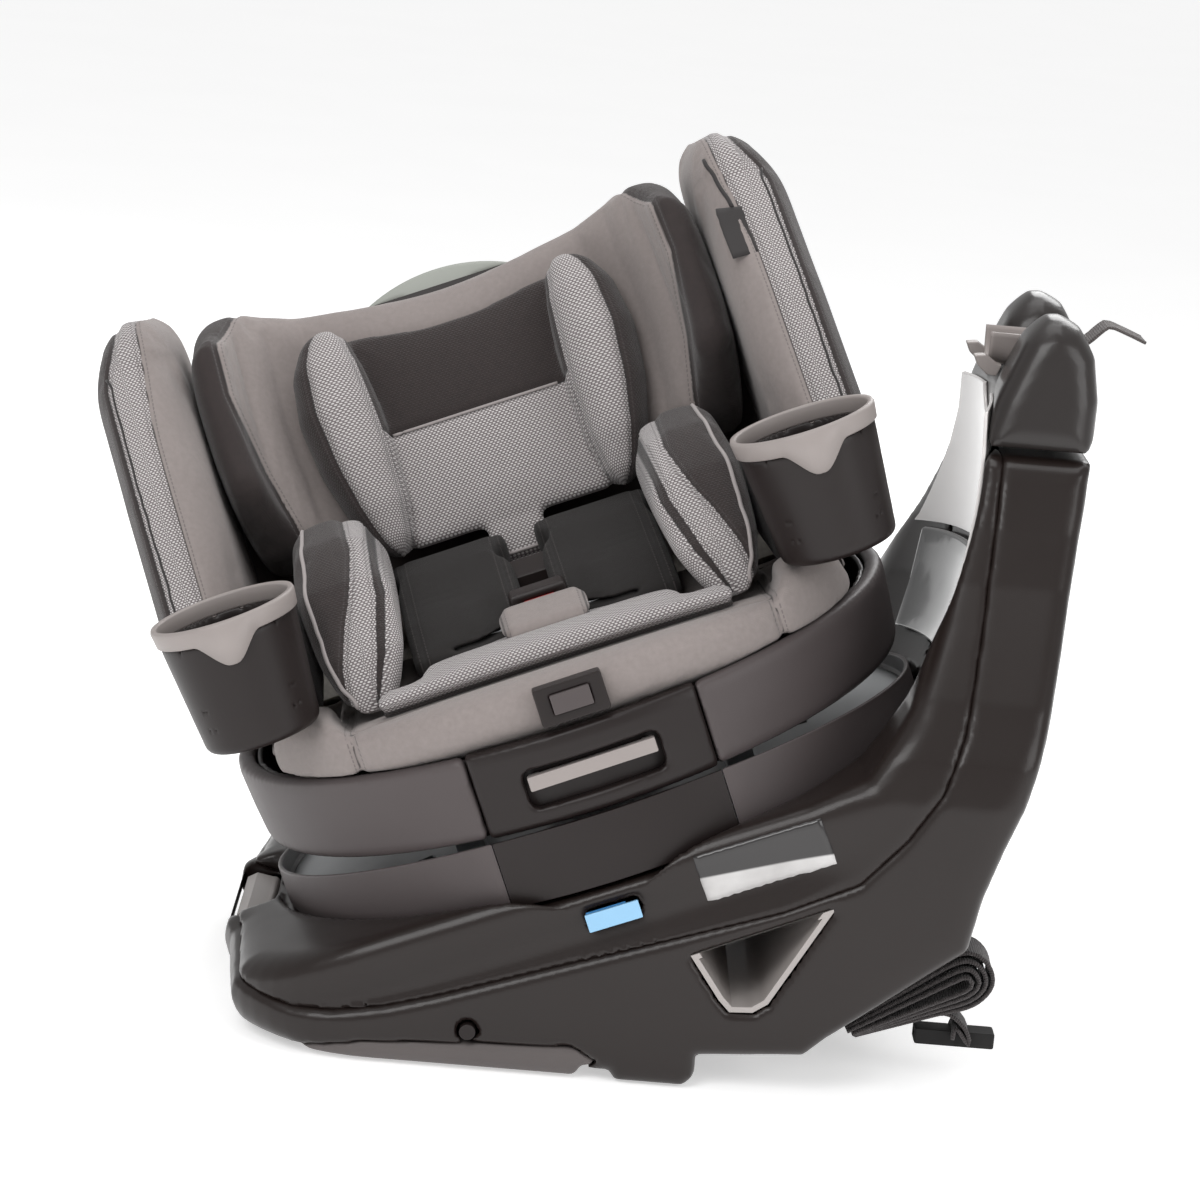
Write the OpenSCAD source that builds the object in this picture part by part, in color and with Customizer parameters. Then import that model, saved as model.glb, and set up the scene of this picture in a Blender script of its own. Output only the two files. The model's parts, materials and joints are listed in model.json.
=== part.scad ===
// Rotating convertible child car seat: a base with an upright column, a tilted turntable,
// a reclining seat with removable cup holders, and a height-adjustable headrest.
// Axes: +Z up from the vehicle seat, +X towards the vehicle backrest, the seat faces -Y.
// Origin: on the resting plane, straight under the centre of the turntable.

/* [Base] */
// Half of the base's overall width
base_half_w = 256; // [250:1:262]
// Height of the turntable centre over the resting plane
turntable_h = 136; // [134:1:140]
// Angle between the turntable and the resting plane
tilt = 22.4; // [21.5:0.1:23]
// Wall thickness of the moulded base shells
base_wall = 5; // [4:0.5:6]

/* [Turntable] */
// Turn of the seat away from facing straight sideways
yaw = 4.5; // [0:0.5:6]
// Radius of the recess in the base that the turntable sits in
recess_r = 247; // [246:1:248]
// Radius of the spindle the turntable turns on
spindle_r = 30; // [20:1:36]
// Radius of the pin that locks the turntable
lock_pin_r = 8; // [6:0.5:9]

/* [Seat] */
// Height of the recline axis over the turntable
recline_axis_h = 400; // [395:1:410]
// Backward lean of the backrest from the turntable axis
lean = 27; // [26:0.5:28]
// Half of the width between the seat's side plates
inner_half_w = 211; // [211:1:213]
// Half of the seat's overall width across the padded wings
wing_half_w = 265; // [260:1:268]

/* [Cup holders] */
// Distance of each cup holder's centre from the seat's middle
cup_x = 208; // [206:1:210]
// Width of a cup holder at its rim
cup_w = 100; // [90:1:104]
// Height of a cup holder
cup_h = 94; // [80:1:96]

/* [Headrest] */
// Height of the headrest along the backrest
headrest_h = 206; // [190:1:210]
// Half of the headrest's width across its side wings
headrest_half_w = 206; // [200:1:207]

/* [Harness] */
// Width of the harness webbing
webbing_w = 38; // [35:1:40]
// Thickness of the harness webbing
webbing_t = 1.6; // [1.2:0.2:2]

/* [Hidden] */
$fn = 96;
// Clearance between fixed parts, and running clearance on the spindle
gap = 0.5;
run_gap = 0.05;
// Longer than the whole object
far = 600;
// Foot of the backrest's surface in the seat's frame
back_y = 85;
back_z = 110;

// ---------- helpers ----------
// Straight prism along Y from an outline drawn in X and Z.
module along_y(half) rotate([90, 0, 0]) linear_extrude(height = 2 * half, center = true) children();
// Straight prism along X from an outline drawn in Y and Z.
module along_x(x0, x1) translate([x0, 0, 0]) rotate([90, 0, 90]) linear_extrude(height = x1 - x0) children();
module box(low, high) translate(low) cube(high - low);
module both_sides() { children(); mirror([1, 0, 0]) children(); }
// Frame of the turntable: origin at its centre, Z along its axis.
module in_turntable() translate([0, 0, turntable_h]) rotate([0, -tilt, 0]) children();
// Frame of the seat: the turntable's frame turned to where the seat faces, with -Y as its front.
module in_seat() in_turntable() rotate([0, 0, yaw]) children();
// Frame of the backrest: Z up along its surface, Y into it.
module in_back() translate([0, back_y, back_z]) rotate([-lean, 0, 0]) children();
// Cylinder about the recline axis, which runs along X.
module about_recline(r, half) translate([-half, 0, recline_axis_h]) rotate([0, 90, 0])
    cylinder(r = r, h = 2 * half, $fn = 180);
function arc(cx, cy, r, a0, a1, n = 8) =
    [for (i = [0:n]) let (a = a0 + (a1 - a0) * i / n) [cx + r * cos(a), cy + r * sin(a)]];
// Outline of a rectangle with rounded corners.
function rounded(x0, y0, x1, y1, r) = concat(arc(x1 - r, y1 - r, r, 0, 90), arc(x0 + r, y1 - r, r, 90, 180),
    arc(x0 + r, y0 + r, r, 180, 270), arc(x1 - r, y0 + r, r, 270, 360));

// ---------- base outline ----------
rim_h = 14;
seam = [[-320, 10], [-200, 18], [-150, 32], [-114, 46], [122, 131], [172, 155], [201, 188], [222, 222],
    [234, 262], [243, 320], [250, 380], [254, 432], [254, 600]];
base_front_x = -268;
rim_front_z = turntable_h + rim_h / cos(tilt) + base_front_x * tan(tilt);
rim_end_x = 132;
rim_end_z = turntable_h + rim_h / cos(tilt) + rim_end_x * tan(tilt);
cap_z = 430;
base_outline = concat([[base_front_x, rim_front_z], [-270, 26], [-262, 12], [-240, 5], [-205, 4], [-190, 0],
    [-8, 0], [-4, 7], [14, 7], [18, 0], [66, 0], [73, 8], [73, 23], [146, 29], [160, 42], [250, 112],
    [257, 150], [268, 185], [279, 215], [290, 260], [299, 310], [307, 360], [313, 400], [316, cap_z]],
    [[237, cap_z], [226, 380], [214, 325], [196, 270], [170, 226], [rim_end_x, rim_end_z]]);
base_front_view = [[-256, -10], [256, -10], [256, 215], [246, 245], [222, 280], [190, 315], [158, 350],
    [132, 385], [112, 420], [104, 445], [-104, 445], [-112, 420], [-132, 385], [-158, 350], [-190, 315],
    [-222, 280], [-246, 245], [-256, 215]];
base_plan = concat([[360, -256], [360, 256]], arc(-150, 141, 115, 90, 150), [[-262, 96], [-272, 78]],
    [[-272, -78], [-262, -96]], arc(-150, -141, 115, 210, 270));
// Inner radius of the bowl that the seat sweeps through, at heights over the turntable.
recess_steps = [[0, 0], [recess_r, 0], [recess_r + 2, rim_h], [268, 30], [298, 60], [322, 100], [340, 150],
    [358, 210], [390, 265], [446, 340], [446, 500], [0, 500]];

module base_body(inset) intersection() {
    along_y(base_half_w + 40) offset(delta = -inset) polygon(base_outline);
    translate([0, 0, -20]) linear_extrude(height = far) offset(delta = -inset) polygon(base_plan);
    along_x(-320, 400) offset(delta = -inset) polygon(base_front_view);
}
module seat_sweep(grow) in_turntable() rotate_extrude($fn = 180) intersection() {
    offset(delta = grow) polygon(recess_steps);
    translate([0, -20]) square([500, 520]);
}
module below_seam() along_y(far / 2) polygon(concat([[-320, -50]], seam, [[600, 600], [600, -50]]));
module above_seam() along_y(far / 2) polygon(concat([[-320, 600]], seam));

// ---------- base ----------
foot_outline = [[-206, 3.9], [-190, 0], [-8, 0], [-4, 7], [4, 15], [-200, 20]];
screw_x = -84;
screw_z = 30;
lock_pin_x = 150;
pad_r = 15;
belt_v = [[62, 96], [158, 138], [118, 66], [108, 59], [92, 58], [84, 66]];
module base_lower_shell() color("#35302f") difference() {
    intersection() { base_body(0); below_seam(); }
    intersection() { base_body(base_wall); below_seam(); }
    seat_sweep(base_wall - 1 + gap);
    along_y(far / 2) polygon(foot_outline);
    along_y(far / 2) polygon(belt_v);
    for (s = [-1, 1]) translate([screw_x, s * base_half_w, screw_z]) rotate([90, 0, 0])
        cylinder(r = 6, h = 40, center = true);
    lever_cut();
}
module lever_cut() box([-262, -64, 21], [-233, 64, 90]);
module base_upper_shell() color("#2a2625") difference() {
    intersection() { base_body(0); above_seam(); }
    seat_sweep(0);
    difference() { intersection() { base_body(base_wall); above_seam(); } seat_sweep(base_wall - 1); }
    in_turntable() translate([0, 0, -20]) cylinder(r = spindle_r + gap, h = 30);
    in_turntable() translate([-lock_pin_x, 0, -20]) cylinder(r = lock_pin_r + 0.1, h = 30);
    lever_cut();
    indicator_place() box([-30, -3, -13], [32, 20, 11]);
    indicator_place() box([-19, -20, -6.5], [19, 20, 6.5]);
}
module indicator_place()
    translate([8, -base_half_w + 3, 121]) rotate([0, -tilt, 0]) mirror([0, 1, 0]) children();
module front_foot() color("#5d5857") difference() {
    intersection() {
        along_y(base_half_w - 14) polygon(foot_outline);
        translate([0, 0, -20]) linear_extrude(height = 60) offset(delta = -12) polygon(base_plan);
    }
    pad_places() translate([0, 0, -1]) cylinder(r = pad_r + gap, h = 4);
}
module pad_places() for (x = [-170, -40], y = [-190, 190]) translate([x, y, 0]) children();
// Round rubber pads, and a small stud under the middle of the base, on the origin.
module foot_pads() color("#1d1d1d") {
    pad_places() cylinder(r = pad_r, h = 2.5);
    cylinder(r = 3.9, h = 6.9);
}

cap_outline = [[236, cap_z + 0.2], [317, cap_z + 0.2], [318, 470], [313, 500], [302, 520], [288, 531],
    [276, 529], [264, 510], [248, 470]];
cap_front = concat([[-104, cap_z]], arc(-56, 500, 34, 170, 20, 8),
    [[-24, 492], [-22, 478], [22, 478], [24, 492]], arc(56, 500, 34, 160, 10, 8), [[104, cap_z]]);
module column_cap() color("#55504f") difference() {
    intersection() { along_y(120) polygon(cap_outline); along_x(200, 340) polygon(cap_front); }
    seat_sweep(0.2);
    intersection() {
        along_y(96) offset(delta = -5) polygon(cap_outline);
        along_x(200, 340) offset(delta = -6) polygon(cap_front);
    }
}
// Thin facing on the column's concave inner side.
module on_column(t, half, z0, z1) intersection() {
    difference() { seat_sweep(-0.1); seat_sweep(-0.1 - t); }
    in_turntable() box([180, -half, z0], [460, half, z1]);
}
panel_front = [[-170, 300], [-116, 390], [-95, 430], [-86, 470], [86, 470], [95, 430], [116, 390], [170, 300]];
module column_panel() color("#bdb8b6") difference() {
    intersection() { on_column(2.5, 180, 96, 206); along_x(150, 420) polygon(panel_front); }
    in_turntable() translate([340, 0, 206]) rotate([0, 90, 0]) cylinder(r = 24, h = 200, center = true);
}
// Curved guard low on the column, between it and the turning seat.
guard_section = [[262, 32], [268, 32], [296, 60], [316, 93], [309, 95], [288, 64]];
module guard_ring() color("#161414") in_turntable() rotate([0, 0, -24])
    rotate_extrude(angle = 48, $fn = 180) polygon(guard_section);
// Two-pronged lip under the slot that keeps the tether in place.
guide_prong = [[262, 474], [262, 482], [250, 484], [241, 490], [233, 489], [236, 482], [243, 476]];
guide_bar = [[258, 474], [262, 474], [262, 482], [258, 482]];
module tether_guide() color("#8c8582") difference() {
    union() {
        for (s = [-1, 1]) translate([0, s * 30, 0]) along_y(6) polygon(guide_prong);
        along_y(36) polygon(guide_bar);
    }
    along_y(200) offset(delta = 0.2) polygon(cap_outline);
}
tether_line = [[282, 480.2], [322, 500], [330, 516], [356, 506], [356, 504], [331, 513.5], [324, 499],
    [284, 479], [284, 478.2]];
module tether_strap() color("#4c4745") along_y(webbing_w / 2 - 3) polygon(tether_line);
module belt_path_insert() color("#a5a09e") intersection() {
    difference() {
        along_y(base_half_w - 8) offset(delta = -0.2) polygon(belt_v);
        along_y(far / 2) offset(delta = -4) polygon(belt_v);
        along_y(far / 2) translate([0, 4]) offset(delta = -4) polygon(belt_v);
    }
    base_body(3);
}
// Bent steel plate that runs along the base and up the column.
frame_outline = [[-180, 24], [-180, 28], [60, 46], [180, 66], [236, 118], [262, 200], [282, 300], [296, 420],
    [300, 420], [288, 300], [268, 198], [241, 113], [184, 60], [60, 41]];
module base_frame() color("#6a6d70") difference() {
    intersection() {
        base_body(base_wall + 2);
        along_y(70) polygon(frame_outline);
    }
    seat_sweep(base_wall + 8);
    along_y(far / 2) offset(delta = 1) polygon(belt_v);
}
module spindle() color("silver") in_turntable() {
    translate([0, 0, -30]) cylinder(r = spindle_r, h = 54);
    translate([0, 0, -12]) cylinder(r = 60, h = 7.5);
}
module retaining_nut() color("#8a8d90") in_turntable() translate([0, 0, 12]) difference() {
    cylinder(r = 44, h = 8);
    translate([0, 0, -1]) cylinder(r = spindle_r + run_gap, h = 10);
}
module glide_ring() color("#e6e2d8") in_turntable() difference() {
    cylinder(r = 138, h = 3.5);
    translate([0, 0, -1]) cylinder(r = 118, h = 6);
}
module indicator_window() color("#8fc4e8") indicator_place() box([-18.8, -1, -6.3], [18.8, 1.5, 6.3]);
module info_label() color("#c9c5c2")
    translate([98, -base_half_w - 0.6, 165]) rotate([90, 0, 0]) rotate([0, 0, tilt])
        linear_extrude(height = 0.6, center = true) polygon(rounded(-46, -20, 46, 20, 3));
module base_screws() color("#777777") for (s = [-1, 1]) translate([screw_x, s * (base_half_w - 8), screw_z])
    rotate([90, 0, 0]) cylinder(r = 5.5, h = 8, center = true);
module lower_anchor_strap() color("#2b2827") intersection() {
    along_y(210) polygon([[172, 40], [240, 40], [276, 66], [288, 108], [262, 116], [252, 106], [180, 50]]);
    translate([0, 0, -20]) linear_extrude(height = 300) polygon(rounded(150, -214, 300, 214, 30));
}
// Latches at the ends of the strap, tucked in behind it.
module lower_anchor_connectors() color("#6f7274")
    for (s = [-1, 1]) translate([252, s * 176, 34]) difference() {
        box([-26, -9, -8], [30, 9, 3]);
        box([-27, -5, -4], [-6, 5, 0]);
    }
lever_x = -239;
lever_z = 33;
lever_pivot_r = 5;
lever_outline = concat(arc(lever_x - 1, lever_z, lever_pivot_r, -90, 90, 6), [[-252, lever_z + 7],
    [-259, lever_z + 3], [-259, lever_z - 2], [-252, lever_z - 5]]);
// Grip with a round barrel on the axis it swings about.
module rotation_lever() color("#b9b4b2") {
    along_y(48) polygon(lever_outline);
    translate([lever_x, 0, lever_z]) rotate([90, 0, 0]) cylinder(r = lever_pivot_r, h = 96, center = true);
}
module lock_pin() color("silver") in_turntable() translate([-lock_pin_x, 0, 0]) {
    translate([0, 0, -26]) cylinder(r = lock_pin_r, h = 27.8);
    translate([0, 0, -26]) cylinder(r = lock_pin_r + 4, h = 4);
}
module indicator_flag() color("#3d8fd0") indicator_place() box([-18, -6, -6], [10, -4, 6]);

// ---------- turntable ----------
plate_z = 4;
plate_t = 6;
slot_angle = 12;
skirt_r = 242;
module turntable_plate() color("#77797c") in_seat() translate([0, 0, plate_z]) difference() {
    cylinder(r = 236, h = plate_t);
    translate([0, 0, -1]) cylinder(r = spindle_r + run_gap, h = plate_t + 2);
    // one slot for the lock pin every 30 degrees, wide enough for the seat's exact quarter turns
    for (a = [0:30:330]) rotate([0, 0, a - yaw / 2 - slot_angle / 2]) translate([0, 0, -1])
        rotate_extrude(angle = slot_angle) translate([lock_pin_x - lock_pin_r - 1, 0])
            square([2 * lock_pin_r + 2, plate_t + 2]);
}
// Half-space under the sloping top edge of the skirt.
module under_skirt_edge() along_x(-300, 300)
    polygon([[-300, -20], [-300, 51], [-236, 51], [120, 16], [300, 16], [300, -20]]);
module skirt_ring(outer_r) rotate_extrude()
    polygon([[236.2, 3], [outer_r, 3], [outer_r, 60], [skirt_r - 3.5, 60], [skirt_r - 3.5, 12], [236.2, 10]]);
module skirt_front_zone() box([-82, -300, -10], [82, -150, 60]);
module turntable_skirt() color("#5a5454") in_seat() difference() {
    intersection() {
        skirt_ring(skirt_r);
        under_skirt_edge();
    }
    skirt_front_zone();
}
module skirt_front_panel() color("#262323") in_seat() intersection() {
    skirt_ring(skirt_r + 1);
    under_skirt_edge();
    box([-81.5, -300, -10], [81.5, -150, 60]);
}
rail_x = 100;
track_r = recline_axis_h - 28;
rail_half_w = 10;
module recline_tracks() color("#85888b") in_seat() both_sides() difference() {
    box([rail_x - rail_half_w, -118, plate_z + plate_t], [rail_x + rail_half_w, 118, 62]);
    about_recline(track_r, 200);
    // groove that the latch runs in
    difference() {
        intersection() {
            about_recline(track_r + 16, 200);
            box([rail_x - 11, -60, 0], [rail_x + 3, 100, 100]);
        }
        about_recline(track_r - 1, 200);
    }
}
module recline_rails() color("#6a6d70") in_seat() both_sides() difference() {
    intersection() {
        box([rail_x - rail_half_w, -104, 20], [rail_x + rail_half_w, 104, 51.5]);
        about_recline(track_r - gap, 200);
    }
    box([rail_x - 14, -27, 0], [rail_x - 1, -13, 60]);
}
module recline_latch() color("silver") in_seat() {
    both_sides() box([rail_x - 9, -25, 17], [rail_x - 3, -15, 36]);
    box([-rail_x + 3, -25, 36], [rail_x - 3, -15, 42]);
}

// ---------- seat structure ----------
pan_z = 52;
pan_r = 232;
shell_t = 5;
back_len = 276;
bowl_top = 112.5;
deck_z = 107;
side_plate = [[-30, 100], [-46, 150], [-44, 205], [18, 310], [66, 376], [104, 404], [150, 412], [238, 400],
    [262, 372], [190, 215], [130, 100]];
module seat_shell() color("#2c2928") in_seat() difference() {
    union() {
        // pan
        difference() {
            translate([0, 0, pan_z]) cylinder(r = pan_r, h = 60, $fn = 180);
            translate([0, 0, pan_z + shell_t]) cylinder(r = pan_r - shell_t, h = 80, $fn = 180);
        }
        trim_to_pan(pan_r - 1) {
            in_back() box([-inner_half_w - 1, 31, -10], [inner_half_w + 1, 31 + shell_t, back_len]);
            both_sides() along_x(inner_half_w, inner_half_w + shell_t) polygon(side_plate);
        }
        // deck that closes the pan behind the backrest
        intersection() {
            translate([0, 0, deck_z - 1]) cylinder(r = pan_r - 2, h = shell_t, $fn = 180);
            in_back() box([-300, 33, -200], [300, 300, 400]);
        }
    }
    harness_slots();
    track_channels();
    box([-25, -245, 60], [25, -215, 130]);
}
// Room in the seat's underside for the front ends of the recline tracks.
module track_channels() both_sides() difference() {
    box([rail_x - 12, -206, 0], [rail_x + 12, 125, 120]);
    about_recline(track_r - 1, 200);
}
// Cuts off whatever would pass through the side of the pan.
module trim_to_pan(r) difference() {
    union() children();
    difference() {
        box([-300, -300, 0], [300, 300, bowl_top + gap]);
        translate([0, 0, -1]) cylinder(r = r, h = 200, $fn = 180);
    }
}
module harness_slots() in_back() both_sides() box([26, -10, 60], [26 + webbing_w + 8, 40, 112]);
// Two upright slots that the headrest's carriage runs in, open at the top.
module carriage_slots() in_back() both_sides() box([84, -10, 100], [98, 31, 400]);
module seat_bowl() color("#5e5858") in_seat() difference() {
    translate([0, 0, 53]) cylinder(r1 = 238, r2 = 245, h = bowl_top - 53, $fn = 180);
    translate([0, 0, 52]) cylinder(r = pan_r + gap, h = 80, $fn = 180);
    box([-82, -300, 40], [82, -150, 130]);
}
module front_cover() color("#211e1e") in_seat() difference() {
    intersection() {
        translate([0, 0, 53]) cylinder(r1 = 239, r2 = 246, h = bowl_top - 53, $fn = 180);
        box([-81.5, -300, 40], [81.5, -150, 130]);
    }
    translate([0, 0, 52]) cylinder(r = pan_r + gap, h = 80, $fn = 180);
    box([-47, -300, 66], [47, -150, 92]);
}
module energy_foam() color("#d9d4cc") in_seat() difference() {
    union() {
        difference() {
            intersection() {
                translate([0, 0, pan_z + shell_t + gap]) cylinder(r = pan_r - shell_t - 1, h = 46, $fn = 180);
                box([-200, -226, 50], [200, 92, 104]);
            }
            in_back() box([-300, 8, -200], [300, 300, 400]);
        }
        trim_to_pan(pan_r - shell_t - 1) in_back()
            box([-inner_half_w + 1, 8.5, 6], [inner_half_w - 1, 30.5, back_len - 12]);
    }
    harness_slots();
    carriage_slots();
    buckle_slot();
    track_channels();
    box([-25, -245, 60], [25, -150, 130]);
}
module buckle_slot() box([-23, -90, 50], [23, -62, 180]);

// ---------- soft goods ----------
cushion_front = [[-236, 114], [-240, 138], [-226, 150], [-200, 146], [-120, 134], [40, 128], [70, 118],
    [60, 105], [-200, 105]];
module seat_cushion() color("#837b78") in_seat() difference() {
    union() {
        intersection() {
            along_x(-236, 236) polygon(cushion_front);
            translate([0, 0, 100]) cylinder(r = 241, h = 100, $fn = 120);
        }
        in_back() box([-inner_half_w + 1.5, 0, 26], [inner_half_w - 1.5, 8, back_len - 12]);
        both_sides() intersection() {
            box([163, -215, 113], [236, -111, 153]);
            translate([0, 0, 100]) cylinder(r = 241, h = 100, $fn = 120);
        }
    }
    difference() {
        translate([0, 0, 90]) cylinder(r = 260, h = bowl_top - 90 + gap);
        translate([0, 0, 80]) cylinder(r = pan_r - shell_t - 1, h = 60);
    }
    box([-25, -260, 100], [25, -231, 147]);
    harness_slots();
    carriage_slots();
    buckle_slot();
    both_sides() box([160, -110.5, 100], [300, 40, 200]);
    both_sides() box([inner_half_w - 1, -60, 100], [300, 200, 200]);
}
wing_outline = concat([[-58, 158], [-60, 205], [8, 322]], arc(108, 388, 40, 165, 75, 8),
    [[240, 412], [272, 384], [226, 280], [182, 158]]);
module wing() along_x(inner_half_w + shell_t + gap, wing_half_w) polygon(wing_outline);
module wing_right() color("#7d7674") in_seat() wing();
module wing_left() color("#7d7674") in_seat() mirror([1, 0, 0]) wing();
armrest_outline = [[-109, 134], [-107, 218], [-92, 232], [10, 226], [30, 206], [30, 150], [20, 130]];
module armrest() along_x(164, inner_half_w - 2) polygon(armrest_outline);
module armrest_right() color("#1f1c1c") in_seat() armrest();
module armrest_left() color("#1f1c1c") in_seat() mirror([1, 0, 0]) armrest();
insert_outline = [[-152, 141], [-140, 186], [-104, 232], [-60, 256], [-10, 262], [34, 250], [70, 215],
    [84, 170], [60, 134], [-118, 136]];
module insert_side() difference() {
    along_x(94, 162) polygon(insert_outline);
    in_back() box([-300, -1, -200], [300, 100, 400]);
    seat_cushion_zone();
    headrest_zone();
}
// Space that the seat cushion takes.
module seat_cushion_zone() along_x(-300, 300) offset(delta = 1) polygon(cushion_front);
// Space that the headrest and its pillow take at their lowest.
module headrest_zone() in_back() box([-headrest_half_w - 2, -132, 74], [headrest_half_w + 2, -1, 600]);
module insert_right() color("#8b8583") in_seat() insert_side();
module insert_left() color("#8b8583") in_seat() mirror([1, 0, 0]) insert_side();
roll_outline = [[-168, 142], [-176, 150], [-168, 160], [-140, 162], [-96, 150], [-20, 141], [60, 138],
    [60, 130], [-100, 134]];
module insert_roll() color("#8b8583") in_seat() difference() {
    along_x(-93, 93) polygon(roll_outline);
    seat_cushion_zone();
    buckle_slot();
    in_back() box([-300, -1, -200], [300, 100, 400]);
}
crotch_outline = [[-140, 163.5], [-132, 180], [-104, 190], [-92.5, 186], [-92.5, 152]];
module crotch_pad() color("#8b8583") in_seat() along_x(-34, 34) polygon(crotch_outline);
pad_path = [[-50, 150], [-57, 160], [-46, 173], [40, 195], [82, 192], [100, 184], [98, 172], [40, 167]];
module shoulder_pad() difference() {
    along_x(22, 86) polygon(pad_path);
    in_back() box([-300, -3, -200], [300, 100, 400]);
    headrest_zone();
    insert_zone();
    strap_run(1.2, 0.4);
}
module insert_zone() along_x(93, 170) offset(delta = 1) polygon(insert_outline);
module shoulder_pad_right() color("#1e1b1b") in_seat() shoulder_pad();
module shoulder_pad_left() color("#1e1b1b") in_seat() mirror([1, 0, 0]) shoulder_pad();
// Middle line of each shoulder strap, from the buckle up to the backrest slot.
strap_line = [[-62, 158], [-44, 160], [40, 180], [96, 180], [119, 171], [147, 157]];
strap_x = 30;
module strap_run(grow, side) for (i = [0:len(strap_line) - 2])
    strip(strap_line[i], strap_line[i + 1], grow, side);
// One straight length of webbing from a to b, thicker by grow and wider by side on each face.
module strip(a, b, grow, side)
    let (run = (b - a) / norm(b - a), n = [-run[1], run[0]] * (webbing_t / 2 + grow))
        along_x(strap_x - side, strap_x + webbing_w + side)
            polygon([a + n - run * grow, b + n + run * grow, b - n + run * grow, a - n - run * grow]);
module harness_straps() color("#3a3635") in_seat() both_sides() difference() {
    strap_run(0, 0);
    in_back() box([-300, 38, -200], [300, 100, 400]);
}
clip_slope = 13;
module chest_clip() color("#232020") in_seat() translate([0, 2, 175]) rotate([clip_slope, 0, 0])
    box([-21, -16, -6], [21, 16, 6]);
buckle_y = -76;
module buckle_body() color("#2a2727") in_seat() translate([0, buckle_y, 0]) difference() {
    box([-21, -12, 124], [21, 12, 180]);
    box([-12, -13, 150], [12, -4, 174]);
}
// Metal tongues at the ends of the shoulder straps.
module buckle_tongues() color("silver") in_seat() both_sides() box([21.2, -84, 156], [52, -62.5, 159]);
module buckle_button() color("#b3262a") in_seat() translate([0, buckle_y, 0])
    box([-11.8, -14, 150.2], [11.8, -10, 173.8]);
module harness_adjuster() color("#3a3737") in_seat() difference() {
    box([-24, -244, 119], [24, -232.5, 146]);
    box([-14, -250, 126], [14, -238, 140]);
}
module adjuster_button() color("#6d6866") in_seat() box([-13.8, -247, 126.2], [13.8, -241, 139.8]);
module recline_handle() color("#a9a5a3") in_seat() {
    box([-45, -243, 80], [45, -236, 90]);
    both_sides() box([36, -236, 80], [44, -233.5, 90]);
}

// ---------- cup holders ----------
cup_y = -160;
cup_floor = 156;
cup_taper = 9;
rim_band = 12;
function cup_r(z) = cup_w / 2 - cup_taper * (1 - (z - cup_floor) / cup_h);
// Length of the cup's cone between two heights, with its wall moved outwards by grow.
module cup_solid(grow, z0, z1) translate([0, 0, z0])
    cylinder(r1 = cup_r(z0) + grow, r2 = cup_r(z1) + grow, h = z1 - z0);
cup_top = cup_floor + cup_h;
module cup(s) in_seat() translate([s * cup_x, cup_y, 0]) difference() {
    cup_solid(0, cup_floor, cup_top - rim_band);
    cup_solid(-3, cup_floor + 3, cup_top);
}
// Plain pointed badge at the front of the rim.
badge_outline = [[-20, cup_top - 2], [20, cup_top - 2], [14, cup_top - 20], [0, cup_top - 30],
    [-14, cup_top - 20]];
module cup_rim(s) in_seat() translate([s * cup_x, cup_y, 0]) difference() {
    union() {
        cup_solid(1.2, cup_top - rim_band + 0.2, cup_top);
        intersection() {
            cup_solid(2, cup_top - 34, cup_top - 2);
            translate([0, -30, 0]) rotate([90, 0, 0]) linear_extrude(height = 60) polygon(badge_outline);
        }
    }
    cup_solid(0.2, cup_floor, cup_top - rim_band + 0.1);
    cup_solid(-3, cup_top - rim_band - 2, cup_top + 1);
}
module cup_left() color("#211e1e") cup(-1);
module cup_right() color("#211e1e") cup(1);
module cup_rim_left() color("#9a938f") cup_rim(-1);
module cup_rim_right() color("#9a938f") cup_rim(1);

// ---------- headrest ----------
head_z0 = 92;
head_z1 = head_z0 + headrest_h;
module headrest_shell() color("#2c2928") in_seat() in_back() difference() {
    union() {
        box([-160, -12, head_z0 + 14], [160, -3, head_z1 - 12]);
        both_sides() box([85, -4, 116], [97, 30, 191]);
    }
    box([-27, -5.5, head_z1 - 44], [27, 0, head_z1]);
}
wing_plan = concat([[-headrest_half_w, -14], [-headrest_half_w, -96]],
    arc(-headrest_half_w + 16, -112, 16, 180, 360, 8),
    [[-headrest_half_w + 34, -80], [-130, -42], [130, -42], [headrest_half_w - 34, -80]],
    arc(headrest_half_w - 16, -112, 16, 180, 360, 8),
    [[headrest_half_w, -96], [headrest_half_w, -14], [164, -1], [162, -1], [162, -13], [-162, -13],
    [-162, -1], [-164, -1]]);
module headrest_cover() color("#837b78") in_seat() in_back() difference() {
    translate([0, 0, head_z0]) linear_extrude(height = headrest_h) polygon(wing_plan);
    // lower corners cut back
    along_x(-300, 300) polygon([[-140, 60], [-140, head_z0 + 46], [-60, head_z0], [-60, 60]]);
}
bolster_plan = [[92, -42.5], [129, -42.5], [137, -56], [136, -78], [120, -90], [102, -84], [92, -64]];
module head_pillow() color("#8b8583") in_seat() in_back() {
    box([-92, -56, 80], [92, -42.5, 250]);
    both_sides() translate([0, 0, 78]) linear_extrude(height = 166) polygon(bolster_plan);
}
grip_outline = concat([[-56, head_z1 - 11.5]], arc(0, head_z1 - 118, 130, 116, 64, 10),
    [[56, head_z1 - 11.5]]);
module headrest_handle() color("#9aa09a") in_seat() in_back() {
    translate([0, -6.4, 0]) along_y(5.6) polygon(grip_outline);
    box([-26, -5, head_z1 - 40], [26, -0.8, head_z1 - 11]);
}

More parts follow.
